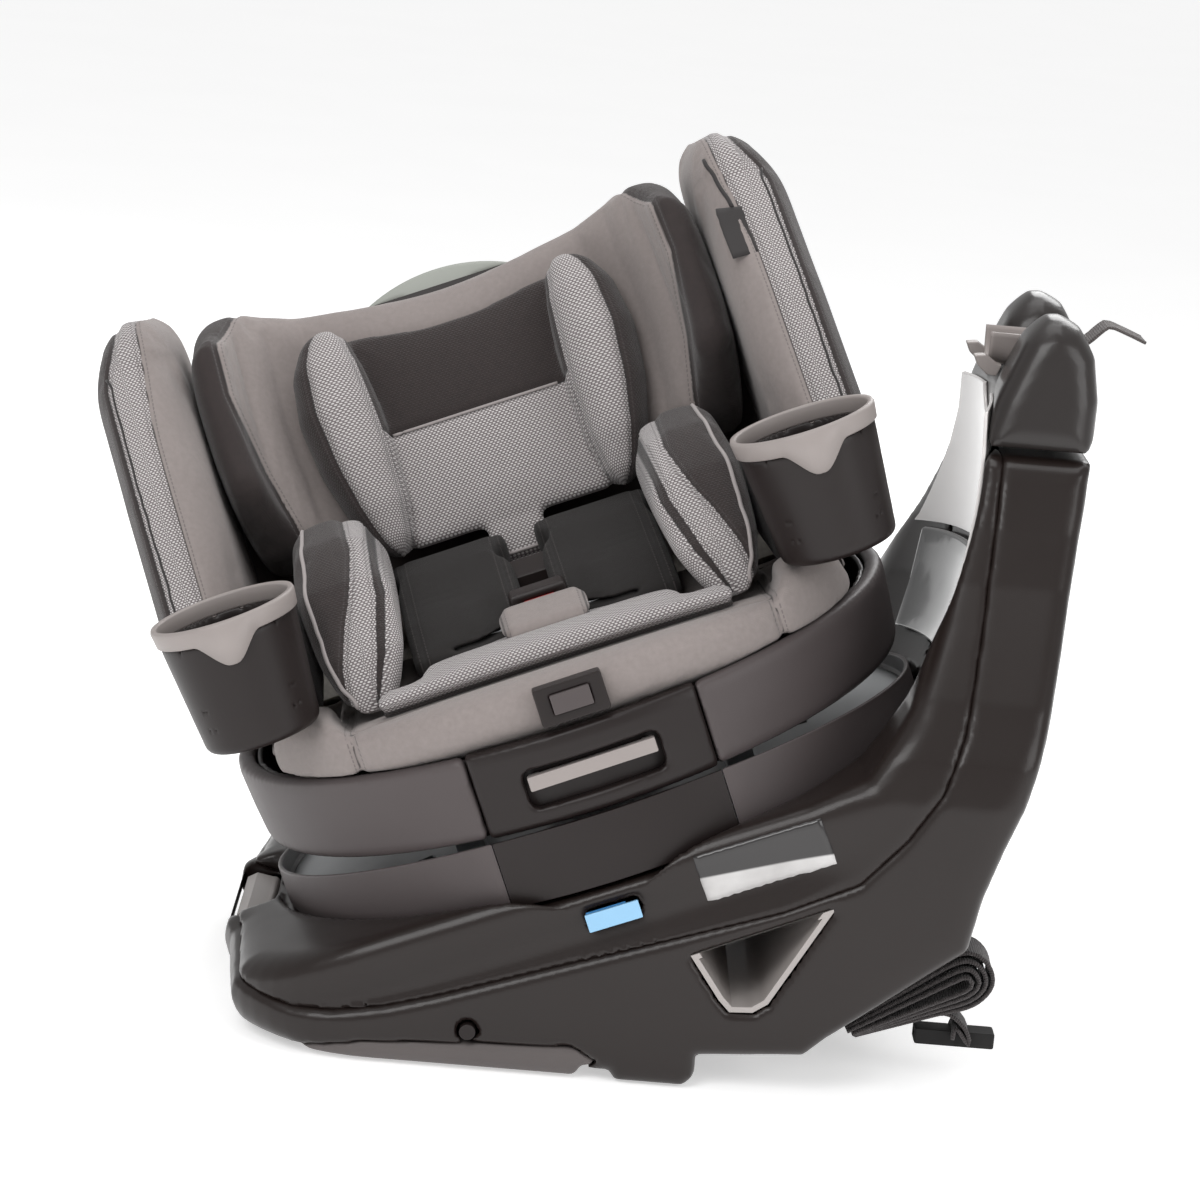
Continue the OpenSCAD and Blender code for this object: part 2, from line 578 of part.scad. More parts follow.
base_lower_shell();
base_upper_shell();
front_foot();
foot_pads();
column_cap();
column_panel();
guard_ring();
tether_guide();
tether_strap();
belt_path_insert();
base_frame();
spindle();
retaining_nut();
glide_ring();
indicator_window();
info_label();
base_screws();
lower_anchor_strap();
lower_anchor_connectors();
rotation_lever();
lock_pin();
indicator_flag();
turntable_plate();
turntable_skirt();
skirt_front_panel();
recline_tracks();
recline_latch();
seat_shell();
seat_bowl();
front_cover();
recline_rails();
energy_foam();
seat_cushion();
wing_left();
wing_right();
armrest_left();
armrest_right();
insert_left();
insert_right();
insert_roll();
crotch_pad();
harness_straps();
shoulder_pad_left();
shoulder_pad_right();
chest_clip();
buckle_body();
buckle_tongues();
buckle_button();
harness_adjuster();
adjuster_button();
recline_handle();
cup_left();
cup_rim_left();
cup_right();
cup_rim_right();
headrest_shell();
headrest_cover();
head_pillow();
headrest_handle();
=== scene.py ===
"""Looks of the rotating convertible child car seat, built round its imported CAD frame.

Lengths are millimetres in one of three frames, and become metres when a mesh is made:
  BASE  the row frame: Z up from the resting plane, X towards the column, the seat faces -Y;
  SEAT  origin at the turntable's centre, Z along its axis, X across the seat;
  BACK  origin at the foot of the backrest, Z up along it, Y into it.
Solid shapes are signed distance fields, negative inside, skinned into quads on a regular grid.
"""
import json
import math
import bpy
import numpy as np
from mathutils import Matrix, Vector
from mathutils.bvhtree import BVHTree


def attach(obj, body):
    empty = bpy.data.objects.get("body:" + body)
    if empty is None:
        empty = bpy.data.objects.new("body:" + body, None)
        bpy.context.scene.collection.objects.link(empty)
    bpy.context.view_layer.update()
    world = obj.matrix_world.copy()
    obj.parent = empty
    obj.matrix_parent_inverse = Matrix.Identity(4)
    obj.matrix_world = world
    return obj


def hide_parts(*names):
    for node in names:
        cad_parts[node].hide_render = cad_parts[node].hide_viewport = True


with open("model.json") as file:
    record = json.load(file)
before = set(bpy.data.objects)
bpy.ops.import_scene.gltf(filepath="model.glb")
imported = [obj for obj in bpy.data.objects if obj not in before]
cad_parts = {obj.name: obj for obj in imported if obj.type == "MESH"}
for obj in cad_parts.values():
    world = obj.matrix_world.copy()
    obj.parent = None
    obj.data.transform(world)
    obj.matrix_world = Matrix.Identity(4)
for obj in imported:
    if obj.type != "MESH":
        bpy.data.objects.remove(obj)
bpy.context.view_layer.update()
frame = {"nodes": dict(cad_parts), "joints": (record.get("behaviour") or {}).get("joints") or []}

MM = 0.001


# ---------- frames, from the joints of the CAD record ----------
joints = {joint["name"]: joint for joint in frame["joints"]}


def placed(across, up, origin):
    """Matrix of a frame with X along across and Z along up."""
    x, z = Vector(across).normalized(), Vector(up).normalized()
    matrix = Matrix((x, z.cross(x).normalized(), z)).transposed().to_4x4()
    matrix.translation = origin
    return matrix


turntable_centre = Vector(joints["seat_rotation"]["pos_m"]) / MM
turntable_up = Vector(joints["seat_rotation"]["axis"])
seat_across = Vector(joints["recline"]["axis"])
BASE = Matrix.Identity(4)
SEAT = placed(seat_across, turntable_up, turntable_centre)
BACK_FOOT = Vector((0, 85, 110))
BACK = placed(seat_across, joints["headrest_height"]["axis"], SEAT @ BACK_FOOT)
TURNTABLE_H = turntable_centre.z
TILT = math.atan2(-turntable_up.x, turntable_up.z)
LEAN = turntable_up.angle(Vector(joints["headrest_height"]["axis"]))


# ---------- distance fields ----------
def grid(low, high, step):
    """Three open arrays of grid coordinates that broadcast to a box."""
    x, y, z = (np.arange(a, b + step, step) for a, b in zip(low, high))
    return x[:, None, None], y[None, :, None], z[None, None, :]


def arc(cx, cy, radius, start, end, count=8):
    """Points along an arc, angles in degrees."""
    angles = [math.radians(start + (end - start) * i / count) for i in range(count + 1)]
    return [(cx + radius * math.cos(a), cy + radius * math.sin(a)) for a in angles]


def outline(u, v, points):
    """Signed distance from (u, v) to a closed outline."""
    u, v = np.broadcast_arrays(np.asarray(u, float), np.asarray(v, float))
    nearest = np.full(u.shape, 1e12)
    inside = np.zeros(u.shape, bool)
    for (ax, ay), (bx, by) in zip(points, points[1:] + points[:1]):
        ex, ey = bx - ax, by - ay
        wx, wy = u - ax, v - ay
        t = np.clip((wx * ex + wy * ey) / (ex * ex + ey * ey + 1e-9), 0, 1)
        nearest = np.minimum(nearest, (wx - ex * t) ** 2 + (wy - ey * t) ** 2)
        if ay != by:
            inside ^= ((ay > v) != (by > v)) & (u < ex * wy / ey + ax)
    return np.where(inside, -1, 1) * np.sqrt(nearest)


def slab(x, low, high):
    return np.maximum(low - x, x - high)


def smax(a, b, blend):
    """Intersection of two fields with an edge rounded over about blend."""
    h = np.maximum(blend - np.abs(a - b), 0) / blend
    return np.maximum(a, b) + h * h * blend / 4


def smin(a, b, blend):
    """Union of two fields with a filleted join."""
    return -smax(-a, -b, blend)


def rounded(a, b, radius):
    """Intersection of two fields with its outer edges rounded to a radius."""
    corner = np.hypot(np.maximum(a + radius, 0), np.maximum(b + radius, 0))
    return corner + np.minimum(np.maximum(a, b) + radius, 0) - radius


def smoothstep(low, high, value):
    t = np.clip((value - low) / (high - low), 0, 1)
    return t * t * (3 - 2 * t)


def bell(value, centre, width):
    return np.exp(-(((value - centre) / width) ** 2))


def follow(value, table):
    """Straight-line reading of (position, value) pairs."""
    return np.interp(value, [p for p, _ in table], [q for _, q in table])


def skin(field, low, step):
    """Quads over the zero surface of a field given on a grid (surface nets)."""
    inside = field < 0
    corners = [(i, j, k) for i in (0, 1) for j in (0, 1) for k in (0, 1)]
    nx, ny, nz = field.shape

    def at(array, c):
        return array[c[0]:nx - 1 + c[0], c[1]:ny - 1 + c[1], c[2]:nz - 1 + c[2]]

    filled = sum(at(inside, c).astype(np.int8) for c in corners)
    cells = np.argwhere((filled > 0) & (filled < 8))
    values = np.stack([field[tuple((cells + c).T)] for c in corners], 1)
    total, hits = np.zeros((len(cells), 3)), np.zeros(len(cells))
    for a, ca in enumerate(corners):
        for b, cb in enumerate(corners):
            step_vector = np.subtract(cb, ca)
            if b <= a or np.abs(step_vector).sum() != 1:
                continue
            crossed = (values[:, a] < 0) != (values[:, b] < 0)
            gap = np.where(crossed, values[:, a] - values[:, b], 1)
            share = values[:, a] / gap
            total += crossed[:, None] * (np.array(ca) + share[:, None] * step_vector)
            hits += crossed
    points = np.array(low) + (cells + total / hits[:, None]) * step
    number = np.full(filled.shape, -1)
    number[tuple(cells.T)] = np.arange(len(cells))
    quads = []
    for axis in range(3):
        u, v = np.eye(3, dtype=int)[(axis + 1) % 3], np.eye(3, dtype=int)[(axis + 2) % 3]
        first = u + v
        last = np.array(field.shape) - 1
        here = tuple(slice(a, b) for a, b in zip(first, last))
        ahead = tuple(slice(a + d, b + d) for a, b, d in zip(first, last, np.eye(3, dtype=int)[axis]))
        for order, mask in ((1, inside[here] & ~inside[ahead]), (-1, ~inside[here] & inside[ahead])):
            p = np.argwhere(mask) + first
            ring = np.stack([number[tuple(q.T)] for q in (p, p - u, p - u - v, p - v)], 1)
            quads.append(ring[:, ::order])
    return points, np.concatenate(quads)


# ---------- meshes ----------
def to_metres(points, place):
    """Points of a frame, in the row frame's metres."""
    points = np.asarray(points, float)
    return (np.c_[points, np.ones(len(points))] @ np.array(place).T)[:, :3] * MM


def local(obj, place):
    """An object's points in one of the frames, in millimetres."""
    points = np.zeros(len(obj.data.vertices) * 3)
    obj.data.vertices.foreach_get("co", points)
    points = points.reshape(-1, 3) / MM
    return (np.c_[points, np.ones(len(points))] @ np.array(place.inverted()).T)[:, :3]


def set_points(obj, points, place):
    obj.data.vertices.foreach_set("co", to_metres(points, place).ravel())
    obj.data.update()


def new_object(name, points, faces, place=BASE, material=None):
    mesh = bpy.data.meshes.new(name)
    mesh.from_pydata(to_metres(points, place).tolist(), [], [[int(v) for v in face] for face in faces])
    mesh.shade_smooth()
    if material:
        mesh.materials.append(MATERIALS[material])
    obj = bpy.data.objects.new(name, mesh)
    bpy.context.scene.collection.objects.link(obj)
    return obj


def settle(obj, body, slot, *nodes):
    """The piece rides on its body and stands for its CAD nodes."""
    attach(obj, body)
    if nodes:
        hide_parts(*nodes)
    return obj


def apply_modifiers(obj):
    graph = bpy.context.evaluated_depsgraph_get()
    made = bpy.data.meshes.new_from_object(obj.evaluated_get(graph))
    obj.modifiers.clear()
    obj.data = made
    return obj


def relaxed(points, quads, passes):
    """Evens out the grid's steps on a skin without shrinking it (Taubin smoothing)."""
    edges = np.concatenate([quads[:, [i, (i + 1) % 4]] for i in range(4)])
    edges = np.concatenate([edges, edges[:, ::-1]])
    order = np.argsort(edges[:, 0], kind="stable")
    edges = edges[order]
    starts = np.searchsorted(edges[:, 0], np.arange(len(points)))
    degree = np.bincount(edges[:, 0], minlength=len(points))[:, None]
    for weight in (0.5, -0.52) * passes:
        around = np.add.reduceat(points[edges[:, 1]], starts, axis=0) / degree
        points = points + weight * (around - points)
    return points


def moulding(name, field, low, step, place, material, body, slot, *nodes, passes=3):
    """A hard piece skinned from a field on a grid."""
    points, quads = skin(field, low, step)
    points = relaxed(points, quads, passes)
    return settle(new_object(name, points, quads, place, material), body, slot, *nodes)


def mirrored(obj, name, place):
    """A copy of a piece on the seat's other side."""
    points = local(obj, place) * (-1, 1, 1)
    faces = [tuple(reversed(p.vertices)) for p in obj.data.polygons]
    copy = new_object(name, points, faces, place)
    for material in obj.data.materials:
        copy.data.materials.append(material)
    for attribute in obj.data.attributes:
        if attribute.name in ("zones", "weave"):
            values = np.zeros(len(points) * 3)
            attribute.data.foreach_get("vector", values)
            set_vector(copy, attribute.name, values)
    return copy


def smooth_path(points, spacing):
    """Even points along a curve through the given ones (Catmull-Rom)."""
    points = np.array(points, float)
    padded = np.vstack([2 * points[0] - points[1], points, 2 * points[-1] - points[-2]])
    made = []
    for a, b, c, d in zip(padded, padded[1:], padded[2:], padded[3:]):
        for t in np.linspace(0, 1, 12, endpoint=False):
            made.append(0.5 * (2 * b + (c - a) * t + (2 * a - 5 * b + 4 * c - d) * t * t
                               + (3 * b - a - 3 * c + d) * t ** 3))
    made = np.array(made + [points[-1]])
    lengths = np.r_[0, np.cumsum(np.linalg.norm(np.diff(made, axis=0), axis=1))]
    wanted = np.linspace(0, lengths[-1], max(2, int(lengths[-1] / spacing) + 1))
    return np.stack([np.interp(wanted, lengths, made[:, i]) for i in range(3)], 1)


def sweep(path, section, across):
    """Closed skin of a section (list of (side, out) points) carried along a path."""
    tangents = np.gradient(path, axis=0)
    tangents /= np.linalg.norm(tangents, axis=1)[:, None]
    side = np.broadcast_to(across, path.shape)
    side = side - tangents * (side * tangents).sum(1)[:, None]
    side = side / np.linalg.norm(side, axis=1)[:, None]
    out = np.cross(tangents, side)
    count = len(section)
    points = np.concatenate([p + [s * a + t * b for s, t in section] for p, a, b in zip(path, side, out)])
    faces = []
    for i in range(len(path) - 1):
        for j in range(count):
            k = (j + 1) % count
            faces.append((i * count + j, i * count + k, (i + 1) * count + k, (i + 1) * count + j))
    faces.append(tuple(range(count))[::-1])
    faces.append(tuple(range((len(path) - 1) * count, len(path) * count)))
    return points, faces


def joined(parts):
    """Several (points, faces) skins as one."""
    points, faces, start = [], [], 0
    for part_points, part_faces in parts:
        points.append(part_points)
        faces += [tuple(int(v) + start for v in face) for face in part_faces]
        start += len(part_points)
    return np.concatenate(points), faces


def round_section(radius, count=8):
    angles = [2 * math.pi * i / count for i in range(count)]
    return [(radius * math.cos(a), radius * math.sin(a)) for a in angles]


def band_section(width, thickness):
    """Flat webbing with its woven edges slightly thicker than its middle."""
    half, t = width / 2, thickness / 2
    top = [(-half + 0.6, t), (-half + 2.2, t * 1.35), (-half + 4, t), (half - 4, t), (half - 2.2, t * 1.35),
           (half - 0.6, t)]
    return [(-half, 0)] + top + [(half, 0)] + [(s, -o) for s, o in reversed(top)]


def set_vector(obj, name, values):
    attribute = obj.data.attributes.get(name) or obj.data.attributes.new(name, "FLOAT_VECTOR", "POINT")
    attribute.data.foreach_set("vector", np.asarray(values, np.float32).ravel())


def webbing(name, paths, width, thickness, place, across, material, body, slot, *nodes):
    """One or more flat straps, each along its own path."""
    parts, weaves = [], []
    for path in paths:
        path = smooth_path(path, 4)
        section = band_section(width, thickness)
        parts.append(sweep(path, section, across))
        run = np.arange(len(path)) * 4.0
        weaves += [(s, v, 0) for v in run for s, _ in section]
    points, faces = joined(parts)
    obj = new_object(name, points, faces, place, material)
    set_vector(obj, "weave", weaves)
    return settle(obj, body, slot, *nodes)


# ---------- materials ----------
def rgb(r, g, b):
    """An 8-bit display colour as linear light."""
    return tuple(((c / 255 + 0.055) / 1.055) ** 2.4 if c > 10 else c / 255 / 12.92 for c in (r, g, b)) + (1,)


class Shader:
    """A node material, built from small steps."""

    def __init__(self, name):
        self.material = bpy.data.materials.new(name)
        self.material.use_nodes = True
        self.tree = self.material.node_tree
        self.tree.nodes.clear()

    def node(self, kind, inputs=None, **settings):
        made = self.tree.nodes.new(kind)
        for key, value in settings.items():
            setattr(made, key, value)
        for key, value in (inputs or {}).items():
            if isinstance(value, bpy.types.NodeSocket):
                self.tree.links.new(value, made.inputs[key])
            else:
                made.inputs[key].default_value = value
        return made

    def math(self, operation, a, b=0.0, c=0.0):
        return self.node("ShaderNodeMath", {0: a, 1: b, 2: c}, operation=operation).outputs[0]

    def attribute(self, name):
        read = self.node("ShaderNodeAttribute", attribute_name=name)
        return self.node("ShaderNodeSeparateXYZ", {0: read.outputs["Vector"]}).outputs

    def noise(self, scale, detail=3.0, vector=None):
        vector = vector or self.node("ShaderNodeTexCoord").outputs["Object"]
        inputs = {"Vector": vector, "Scale": scale, "Detail": detail}
        return self.node("ShaderNodeTexNoise", inputs).outputs[0]

    def mix(self, share, a, b):
        return self.node("ShaderNodeMix", {0: share, 6: a, 7: b}, data_type="RGBA").outputs[2]

    def between(self, value, low, high):
        """0 below low, 1 above high, smooth between them."""
        inputs = {0: value, 1: low, 2: high}
        return self.node("ShaderNodeMapRange", inputs, interpolation_type="SMOOTHSTEP").outputs[0]

    def range(self, value, low, high):
        return self.node("ShaderNodeMapRange", {0: value, 3: low, 4: high}).outputs[0]

    def bump(self, height, distance, strength=1.0, normal=None):
        inputs = {"Height": height, "Distance": distance, "Strength": strength}
        if normal:
            inputs["Normal"] = normal
        return self.node("ShaderNodeBump", inputs).outputs[0]

    def finish(self, colour, roughness, normal=None, **more):
        inputs = {"Base Color": colour, "Roughness": roughness}
        if normal:
            inputs["Normal"] = normal
        inputs.update({key.replace("_", " "): value for key, value in more.items()})
        principled = self.node("ShaderNodeBsdfPrincipled", inputs)
        self.node("ShaderNodeOutputMaterial", {0: principled.outputs[0]})
        return self.material


def plastic(name, colour, roughness, grain=0.00006, coat=0.0, edge_highlight_gain=1.5):
    """Moulded plastic: fine spark-eroded grain, uneven gloss, and convex edges painted paler in broken
    patches as a painted highlight.
    """
    s = Shader(name)
    cloud = s.noise(9.0, 4.0)
    # Convex edges lifted towards a paler colour in noisy patches: painted highlight along the edges
    edge = s.between(s.node("ShaderNodeNewGeometry").outputs["Pointiness"], 0.52, 0.62)
    edge_highlight = s.math("MULTIPLY", edge, s.range(s.noise(60.0), 0.1, 0.7))
    pale = tuple(min(1, c * edge_highlight_gain + 0.004) for c in colour[:3]) + (1,)
    dark = tuple(c * 0.86 for c in colour[:3]) + (1,)
    base = s.mix(edge_highlight, s.mix(cloud, dark, colour), pale)
    gloss = s.math("ADD", roughness - 0.05, s.math("MULTIPLY", s.noise(25.0), 0.1))
    normal = s.bump(s.noise(1400.0, 2.0), grain)
    return s.finish(base, gloss, normal, Coat_Weight=coat, Coat_Roughness=0.12, Specular_IOR_Level=0.32)


def metal(name, colour, roughness):
    """Metal with faint brushed streaks and smudges."""
    s = Shader(name)
    place = s.node("ShaderNodeTexCoord").outputs["Object"]
    streak = s.node("ShaderNodeMapping", {0: place, 3: (40, 900, 900)}).outputs[0]
    brushed = s.noise(1.0, 3.0, streak)
    gloss = s.math("ADD", roughness, s.math("MULTIPLY", s.noise(30.0), 0.12))
    tone = s.mix(brushed, tuple(c * 0.85 for c in colour[:3]) + (1,), colour)
    return s.finish(tone, gloss, s.bump(brushed, 0.00003), Metallic=0.9)


DOT_PITCH = 3.2
DOT_ROW = 1.75


def dots(s, u, v):
    """Staggered rows of small raised oval knots, 1 on a knot."""
    row = s.math("DIVIDE", v, DOT_ROW)
    shift = s.math("MULTIPLY", s.math("FLOORED_MODULO", s.math("FLOOR", row), 2.0), 0.5)
    column = s.math("ADD", s.math("DIVIDE", u, DOT_PITCH), shift)
    du = s.math("MULTIPLY", s.math("SUBTRACT", s.math("FRACT", column), 0.5), DOT_PITCH / 1.05)
    dv = s.math("MULTIPLY", s.math("SUBTRACT", s.math("FRACT", row), 0.5), DOT_ROW / 0.62)
    reach = s.math("SQRT", s.math("ADD", s.math("MULTIPLY", du, du), s.math("MULTIPLY", dv, dv)))
    return s.between(reach, 1.1, 0.8)


def soft_cover(name, plain, black_pale=(54, 45, 44), black_deep=(33, 26, 25), sheen=0.22):
    """Cover fabric. Attribute zones holds millimetres into the dotted mesh, into the black zone (black
    fabric; painted shade on the front roll and the cushion's back), and from the nearest seam; attribute
    weave holds the cloth's own coordinates."""
    s = Shader(name)
    zones, weave = s.attribute("zones"), s.attribute("weave")
    u, v = weave[0], weave[1]
    in_mesh = s.between(zones[0], -0.2, 0.2)
    in_black = s.between(zones[1], -0.2, 0.2)
    knot = s.math("MULTIPLY", dots(s, u, v), in_mesh)
    heather = s.noise(260.0, 4.0)
    patch = s.noise(7.0, 2.0)
    dark = tuple(c * 0.8 for c in plain[:3]) + (1,)
    cloth = s.mix(heather, dark, tuple(min(1, c * 1.14) for c in plain[:3]) + (1,))
    cloth = s.mix(s.math("MULTIPLY", patch, 0.35), cloth, dark)
    mesh_cloth = s.mix(knot, s.mix(heather, rgb(108, 101, 102), rgb(126, 119, 119)), rgb(212, 208, 207))
    black = s.mix(heather, rgb(*black_deep), rgb(*black_pale))
    colour = s.mix(in_black, s.mix(in_mesh, cloth, mesh_cloth), black)
    seam = s.between(zones[2], 1.1, 0.3)
    stitch_row = s.math("MULTIPLY", s.between(zones[2], 2.6, 2.9), s.between(zones[2], 3.8, 3.5))
    dash = s.between(s.math("FRACT", s.math("DIVIDE", v, 3.4)), 0.62, 0.7)
    stitch = s.math("MULTIPLY", stitch_row, s.math("SUBTRACT", 1.0, dash))
    # Near-black within about a millimetre of each seam: painted shade in the seam's groove
    colour = s.mix(s.math("MULTIPLY", seam, 0.8), colour, rgb(30, 27, 27))
    colour = s.mix(s.math("MULTIPLY", stitch, 0.45), colour, rgb(74, 68, 68))
    ribs, courses = (s.math("SINE", s.math("MULTIPLY", c, pitch)) for c, pitch in ((u, 6.6), (v, 7.8)))
    knit = s.math("MULTIPLY", ribs, courses)
    raised = s.math("ADD", s.math("MULTIPLY", knot, 1.0), s.math("MULTIPLY", knit, 0.22))
    raised = s.math("ADD", raised, s.math("MULTIPLY", stitch, 0.6))
    normal = s.bump(raised, 0.00035, 0.9)
    normal = s.bump(s.noise(22.0, 3.0), 0.0016, 0.35, normal)
    return s.finish(colour, s.range(heather, 0.78, 0.92), normal, Sheen_Weight=sheen, Sheen_Roughness=0.45)


def webbing_cloth(name, colour):
    """Narrow woven strap: fine ribs across and twill along, with a painted highlight on the raised ribs."""
    s = Shader(name)
    weave = s.attribute("weave")
    rib = s.math("SINE", s.math("MULTIPLY", weave[1], 3.6))
    warp = s.math("SINE", s.math("ADD", s.math("MULTIPLY", weave[0], 2.9), s.math("MULTIPLY", weave[1], 0.8)))
    height = s.math("ADD", rib, s.math("MULTIPLY", warp, 0.7))
    pale = tuple(min(1, c * 1.7 + 0.004) for c in colour[:3]) + (1,)
    # Raised parts of the weave lifted towards the paler colour: painted highlight on the ridges
    tone = s.mix(s.range(height, 0.1, 0.6), colour, pale)
    tone = s.mix(s.math("MULTIPLY", s.noise(90.0), 0.3), tone, colour)
    return s.finish(tone, 0.72, s.bump(height, 0.00025), Sheen_Weight=0.15)


def foam_material(name, colour):
    """Moulded bead foam, with painted shade between the beads."""
    s = Shader(name)
    place = s.node("ShaderNodeTexCoord").outputs["Object"]
    beads = s.node("ShaderNodeTexVoronoi", {"Vector": place, "Scale": 260.0}).outputs["Distance"]
    # Darker towards each bead's rim: painted shade in the crevices between beads
    tone = s.mix(beads, colour, tuple(c * 0.75 for c in colour[:3]) + (1,))
    return s.finish(tone, 0.85, s.bump(beads, 0.0004))


def label_material(name):
    """A plain printed label: a black field over a silver one, with no lettering."""
    s = Shader(name)
    place = s.node("ShaderNodeTexCoord").outputs["Generated"]
    x, _, z = s.node("ShaderNodeSeparateXYZ", {0: place}).outputs
    height = s.math("SUBTRACT", z, s.math("MULTIPLY", x, 0.42))
    silver = s.between(height, 0.23, 0.2)
    tone = s.mix(silver, rgb(34, 31, 31), s.mix(s.noise(30.0), rgb(150, 147, 146), rgb(222, 220, 219)))
    return s.finish(tone, 0.28, s.bump(s.noise(500.0), 0.00002), Coat_Weight=0.5)


GREY_CLOTH = rgb(143, 134, 131)
MATERIALS = {
    "shell_dark": plastic("satin_black_plastic", rgb(34, 27, 25), 0.32, coat=0.1),
    "seat_dark": plastic("matte_black_plastic", rgb(33, 26, 25), 0.4),
    "gloss_black": plastic("gloss_black_plastic", rgb(14, 12, 12), 0.12, 0.00001, 0.8),
    "cap_grey": plastic("cap_plastic", rgb(46, 42, 41), 0.3, coat=0.15),
    # Lighter than the black base: painted floor reflection on the foot's down-facing face
    "shell_grey": plastic("bowl_plastic", rgb(80, 73, 73), 0.46, 0.0001),
    "foot_grey": plastic("foot_plastic_painted_floor_light", rgb(93, 87, 86), 0.5, 0.0001),
    "trim_light": plastic("rim_plastic", rgb(152, 144, 141), 0.42, edge_highlight_gain=1.15),
    "insert_grey": plastic("insert_plastic", rgb(172, 166, 163), 0.3, edge_highlight_gain=1.1),
    # Near-white and not metallic: the panel's light silver tone, with its bright reflections painted into the
    # colour
    "panel_silver": plastic("silver_lacquer", rgb(226, 222, 220), 0.14, 0.00001, 0.8, edge_highlight_gain=1.03),
    "rubber": plastic("rubber", rgb(28, 27, 27), 0.75, 0.00015),
    "plastic_white": plastic("acetal", rgb(226, 222, 212), 0.4, edge_highlight_gain=1.02),
    "button_red": plastic("red_plastic", rgb(176, 34, 40), 0.35, edge_highlight_gain=1.2),
    "flag_blue": plastic("blue_plastic", rgb(70, 140, 200), 0.4, edge_highlight_gain=1.1),
    "window_blue": plastic("window_plastic", rgb(140, 190, 225), 0.1, 0.00001, 0.8, edge_highlight_gain=1.05),
    "steel": metal("zinc_plated_steel", rgb(170, 172, 174), 0.28),
    "foam": foam_material("bead_foam", rgb(217, 212, 204)),
    "cover": soft_cover("cover_cloth", GREY_CLOTH),
    "pad_cover": soft_cover("pad_cloth", GREY_CLOTH, (27, 22, 20), (15, 12, 11), 0.05),
    "webbing": webbing_cloth("harness_webbing", rgb(52, 47, 47)),
    "tether_webbing": webbing_cloth("tether_webbing_cloth", rgb(74, 68, 67)),
    "label": label_material("plain_label"),
    "trim_cord": webbing_cloth("light_cord", rgb(150, 143, 142)),
    "black_cord": webbing_cloth("black_cord_cloth", rgb(34, 30, 30)),
    "handle": plastic("handle_plastic", rgb(160, 163, 156), 0.4, edge_highlight_gain=1.1),
}


# ---------- hard parts that keep their CAD shape ----------
KEPT = {
    "foot_pads": ("rubber", 0.8), "column_panel": ("panel_silver", 0.8), "guard_ring": ("gloss_black", 2.5),
    "tether_guide": ("trim_light", 1.2), "belt_path_insert": ("insert_grey", 0.8),
    "base_frame": ("steel", 0.5), "spindle": ("steel", 0.8), "retaining_nut": ("steel", 0.8),
    "glide_ring": ("plastic_white", 0.5), "indicator_window": ("window_blue", 0.5),
    "base_screws": ("seat_dark", 0.6), "lower_anchor_connectors": ("rubber", 1.5),
    "rotation_lever": ("insert_grey", 1.5), "lock_pin": ("steel", 0.8),
    "indicator_flag": ("flag_blue", 0.3), "turntable_plate": ("steel", 0.4),
    "turntable_skirt": ("shell_grey", 1.2), "skirt_front_panel": ("seat_dark", 1.2),
    "recline_tracks": ("steel", 0.6), "recline_latch": ("steel", 0.6), "recline_rails": ("steel", 0.6),
    "energy_foam": ("foam", 1.5), "chest_clip": ("seat_dark", 2.5), "buckle_body": ("seat_dark", 3.0),
    "buckle_tongues": ("steel", 0.6), "buckle_button": ("button_red", 1.2),
    "harness_adjuster": ("seat_dark", 1.5), "adjuster_button": ("shell_grey", 0.8),
    "recline_handle": ("trim_light", 1.5), "headrest_shell": ("seat_dark", 1.5),
}
BEVEL_ANGLE = math.radians(35)


def dress(node, material, bevel):
    """A CAD part with its material and small moulded edge radii."""
    obj = frame["nodes"][node]
    obj.data.materials.clear()
    obj.data.materials.append(material)
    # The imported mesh's own normals would hide the new bevels
    if "custom_normal" in obj.data.attributes:
        obj.data.attributes.remove(obj.data.attributes["custom_normal"])
    weld = obj.modifiers.new("weld", "WELD")
    weld.merge_threshold = 0.00002
    edge = obj.modifiers.new("edges", "BEVEL")
    edge.width = bevel * MM
    edge.segments = 2
    edge.limit_method = "ANGLE"
    edge.angle_limit = BEVEL_ANGLE
    obj.data.shade_smooth()
    obj.modifiers.new("normals", "WEIGHTED_NORMAL")


for node_name, (finish_name, edge_radius) in KEPT.items():
    dress(node_name, MATERIALS[finish_name], edge_radius)


# ---------- base shells ----------
RIM_H = 14
BASE_FRONT_X = -268
RIM_END_X = 132
CAP_Z = 430
BASE_HALF_W = 256
EDGE_BLEND = 16
PLAN_BLEND = 24
SHELL_T = 5


def rim_z(x):
    """Height of the rim plane over the resting plane."""
    return TURNTABLE_H + RIM_H / math.cos(TILT) + x * math.tan(TILT)


BASE_SIDE = [(BASE_FRONT_X, rim_z(BASE_FRONT_X)), (-270, 26), (-262, 12), (-240, 5), (-205, 4), (-190, 0),
             (-8, 0), (-4, 7), (14, 7), (18, 0), (66, 0), (73, 8), (73, 23), (146, 29), (160, 42),
             (250, 112), (257, 150), (268, 185), (279, 215), (290, 260), (299, 310), (307, 360), (313, 400),
             (316, CAP_Z), (237, CAP_Z), (226, 380), (214, 325), (196, 270), (170, 226),
             (RIM_END_X, rim_z(RIM_END_X))]
COLUMN_EDGE = [(256, 215), (246, 245), (222, 280), (190, 315), (158, 350), (132, 385), (112, 420), (104, 445)]
BASE_ACROSS = ([(-256, -10), (256, -10)] + COLUMN_EDGE + [(-y, z) for y, z in reversed(COLUMN_EDGE)])
BASE_PLAN = ([(360, -256), (360, 256)] + arc(-150, 141, 115, 90, 150) + [(-262, 96), (-272, 78), (-272, -78),
             (-262, -96)] + arc(-150, -141, 115, 210, 270))
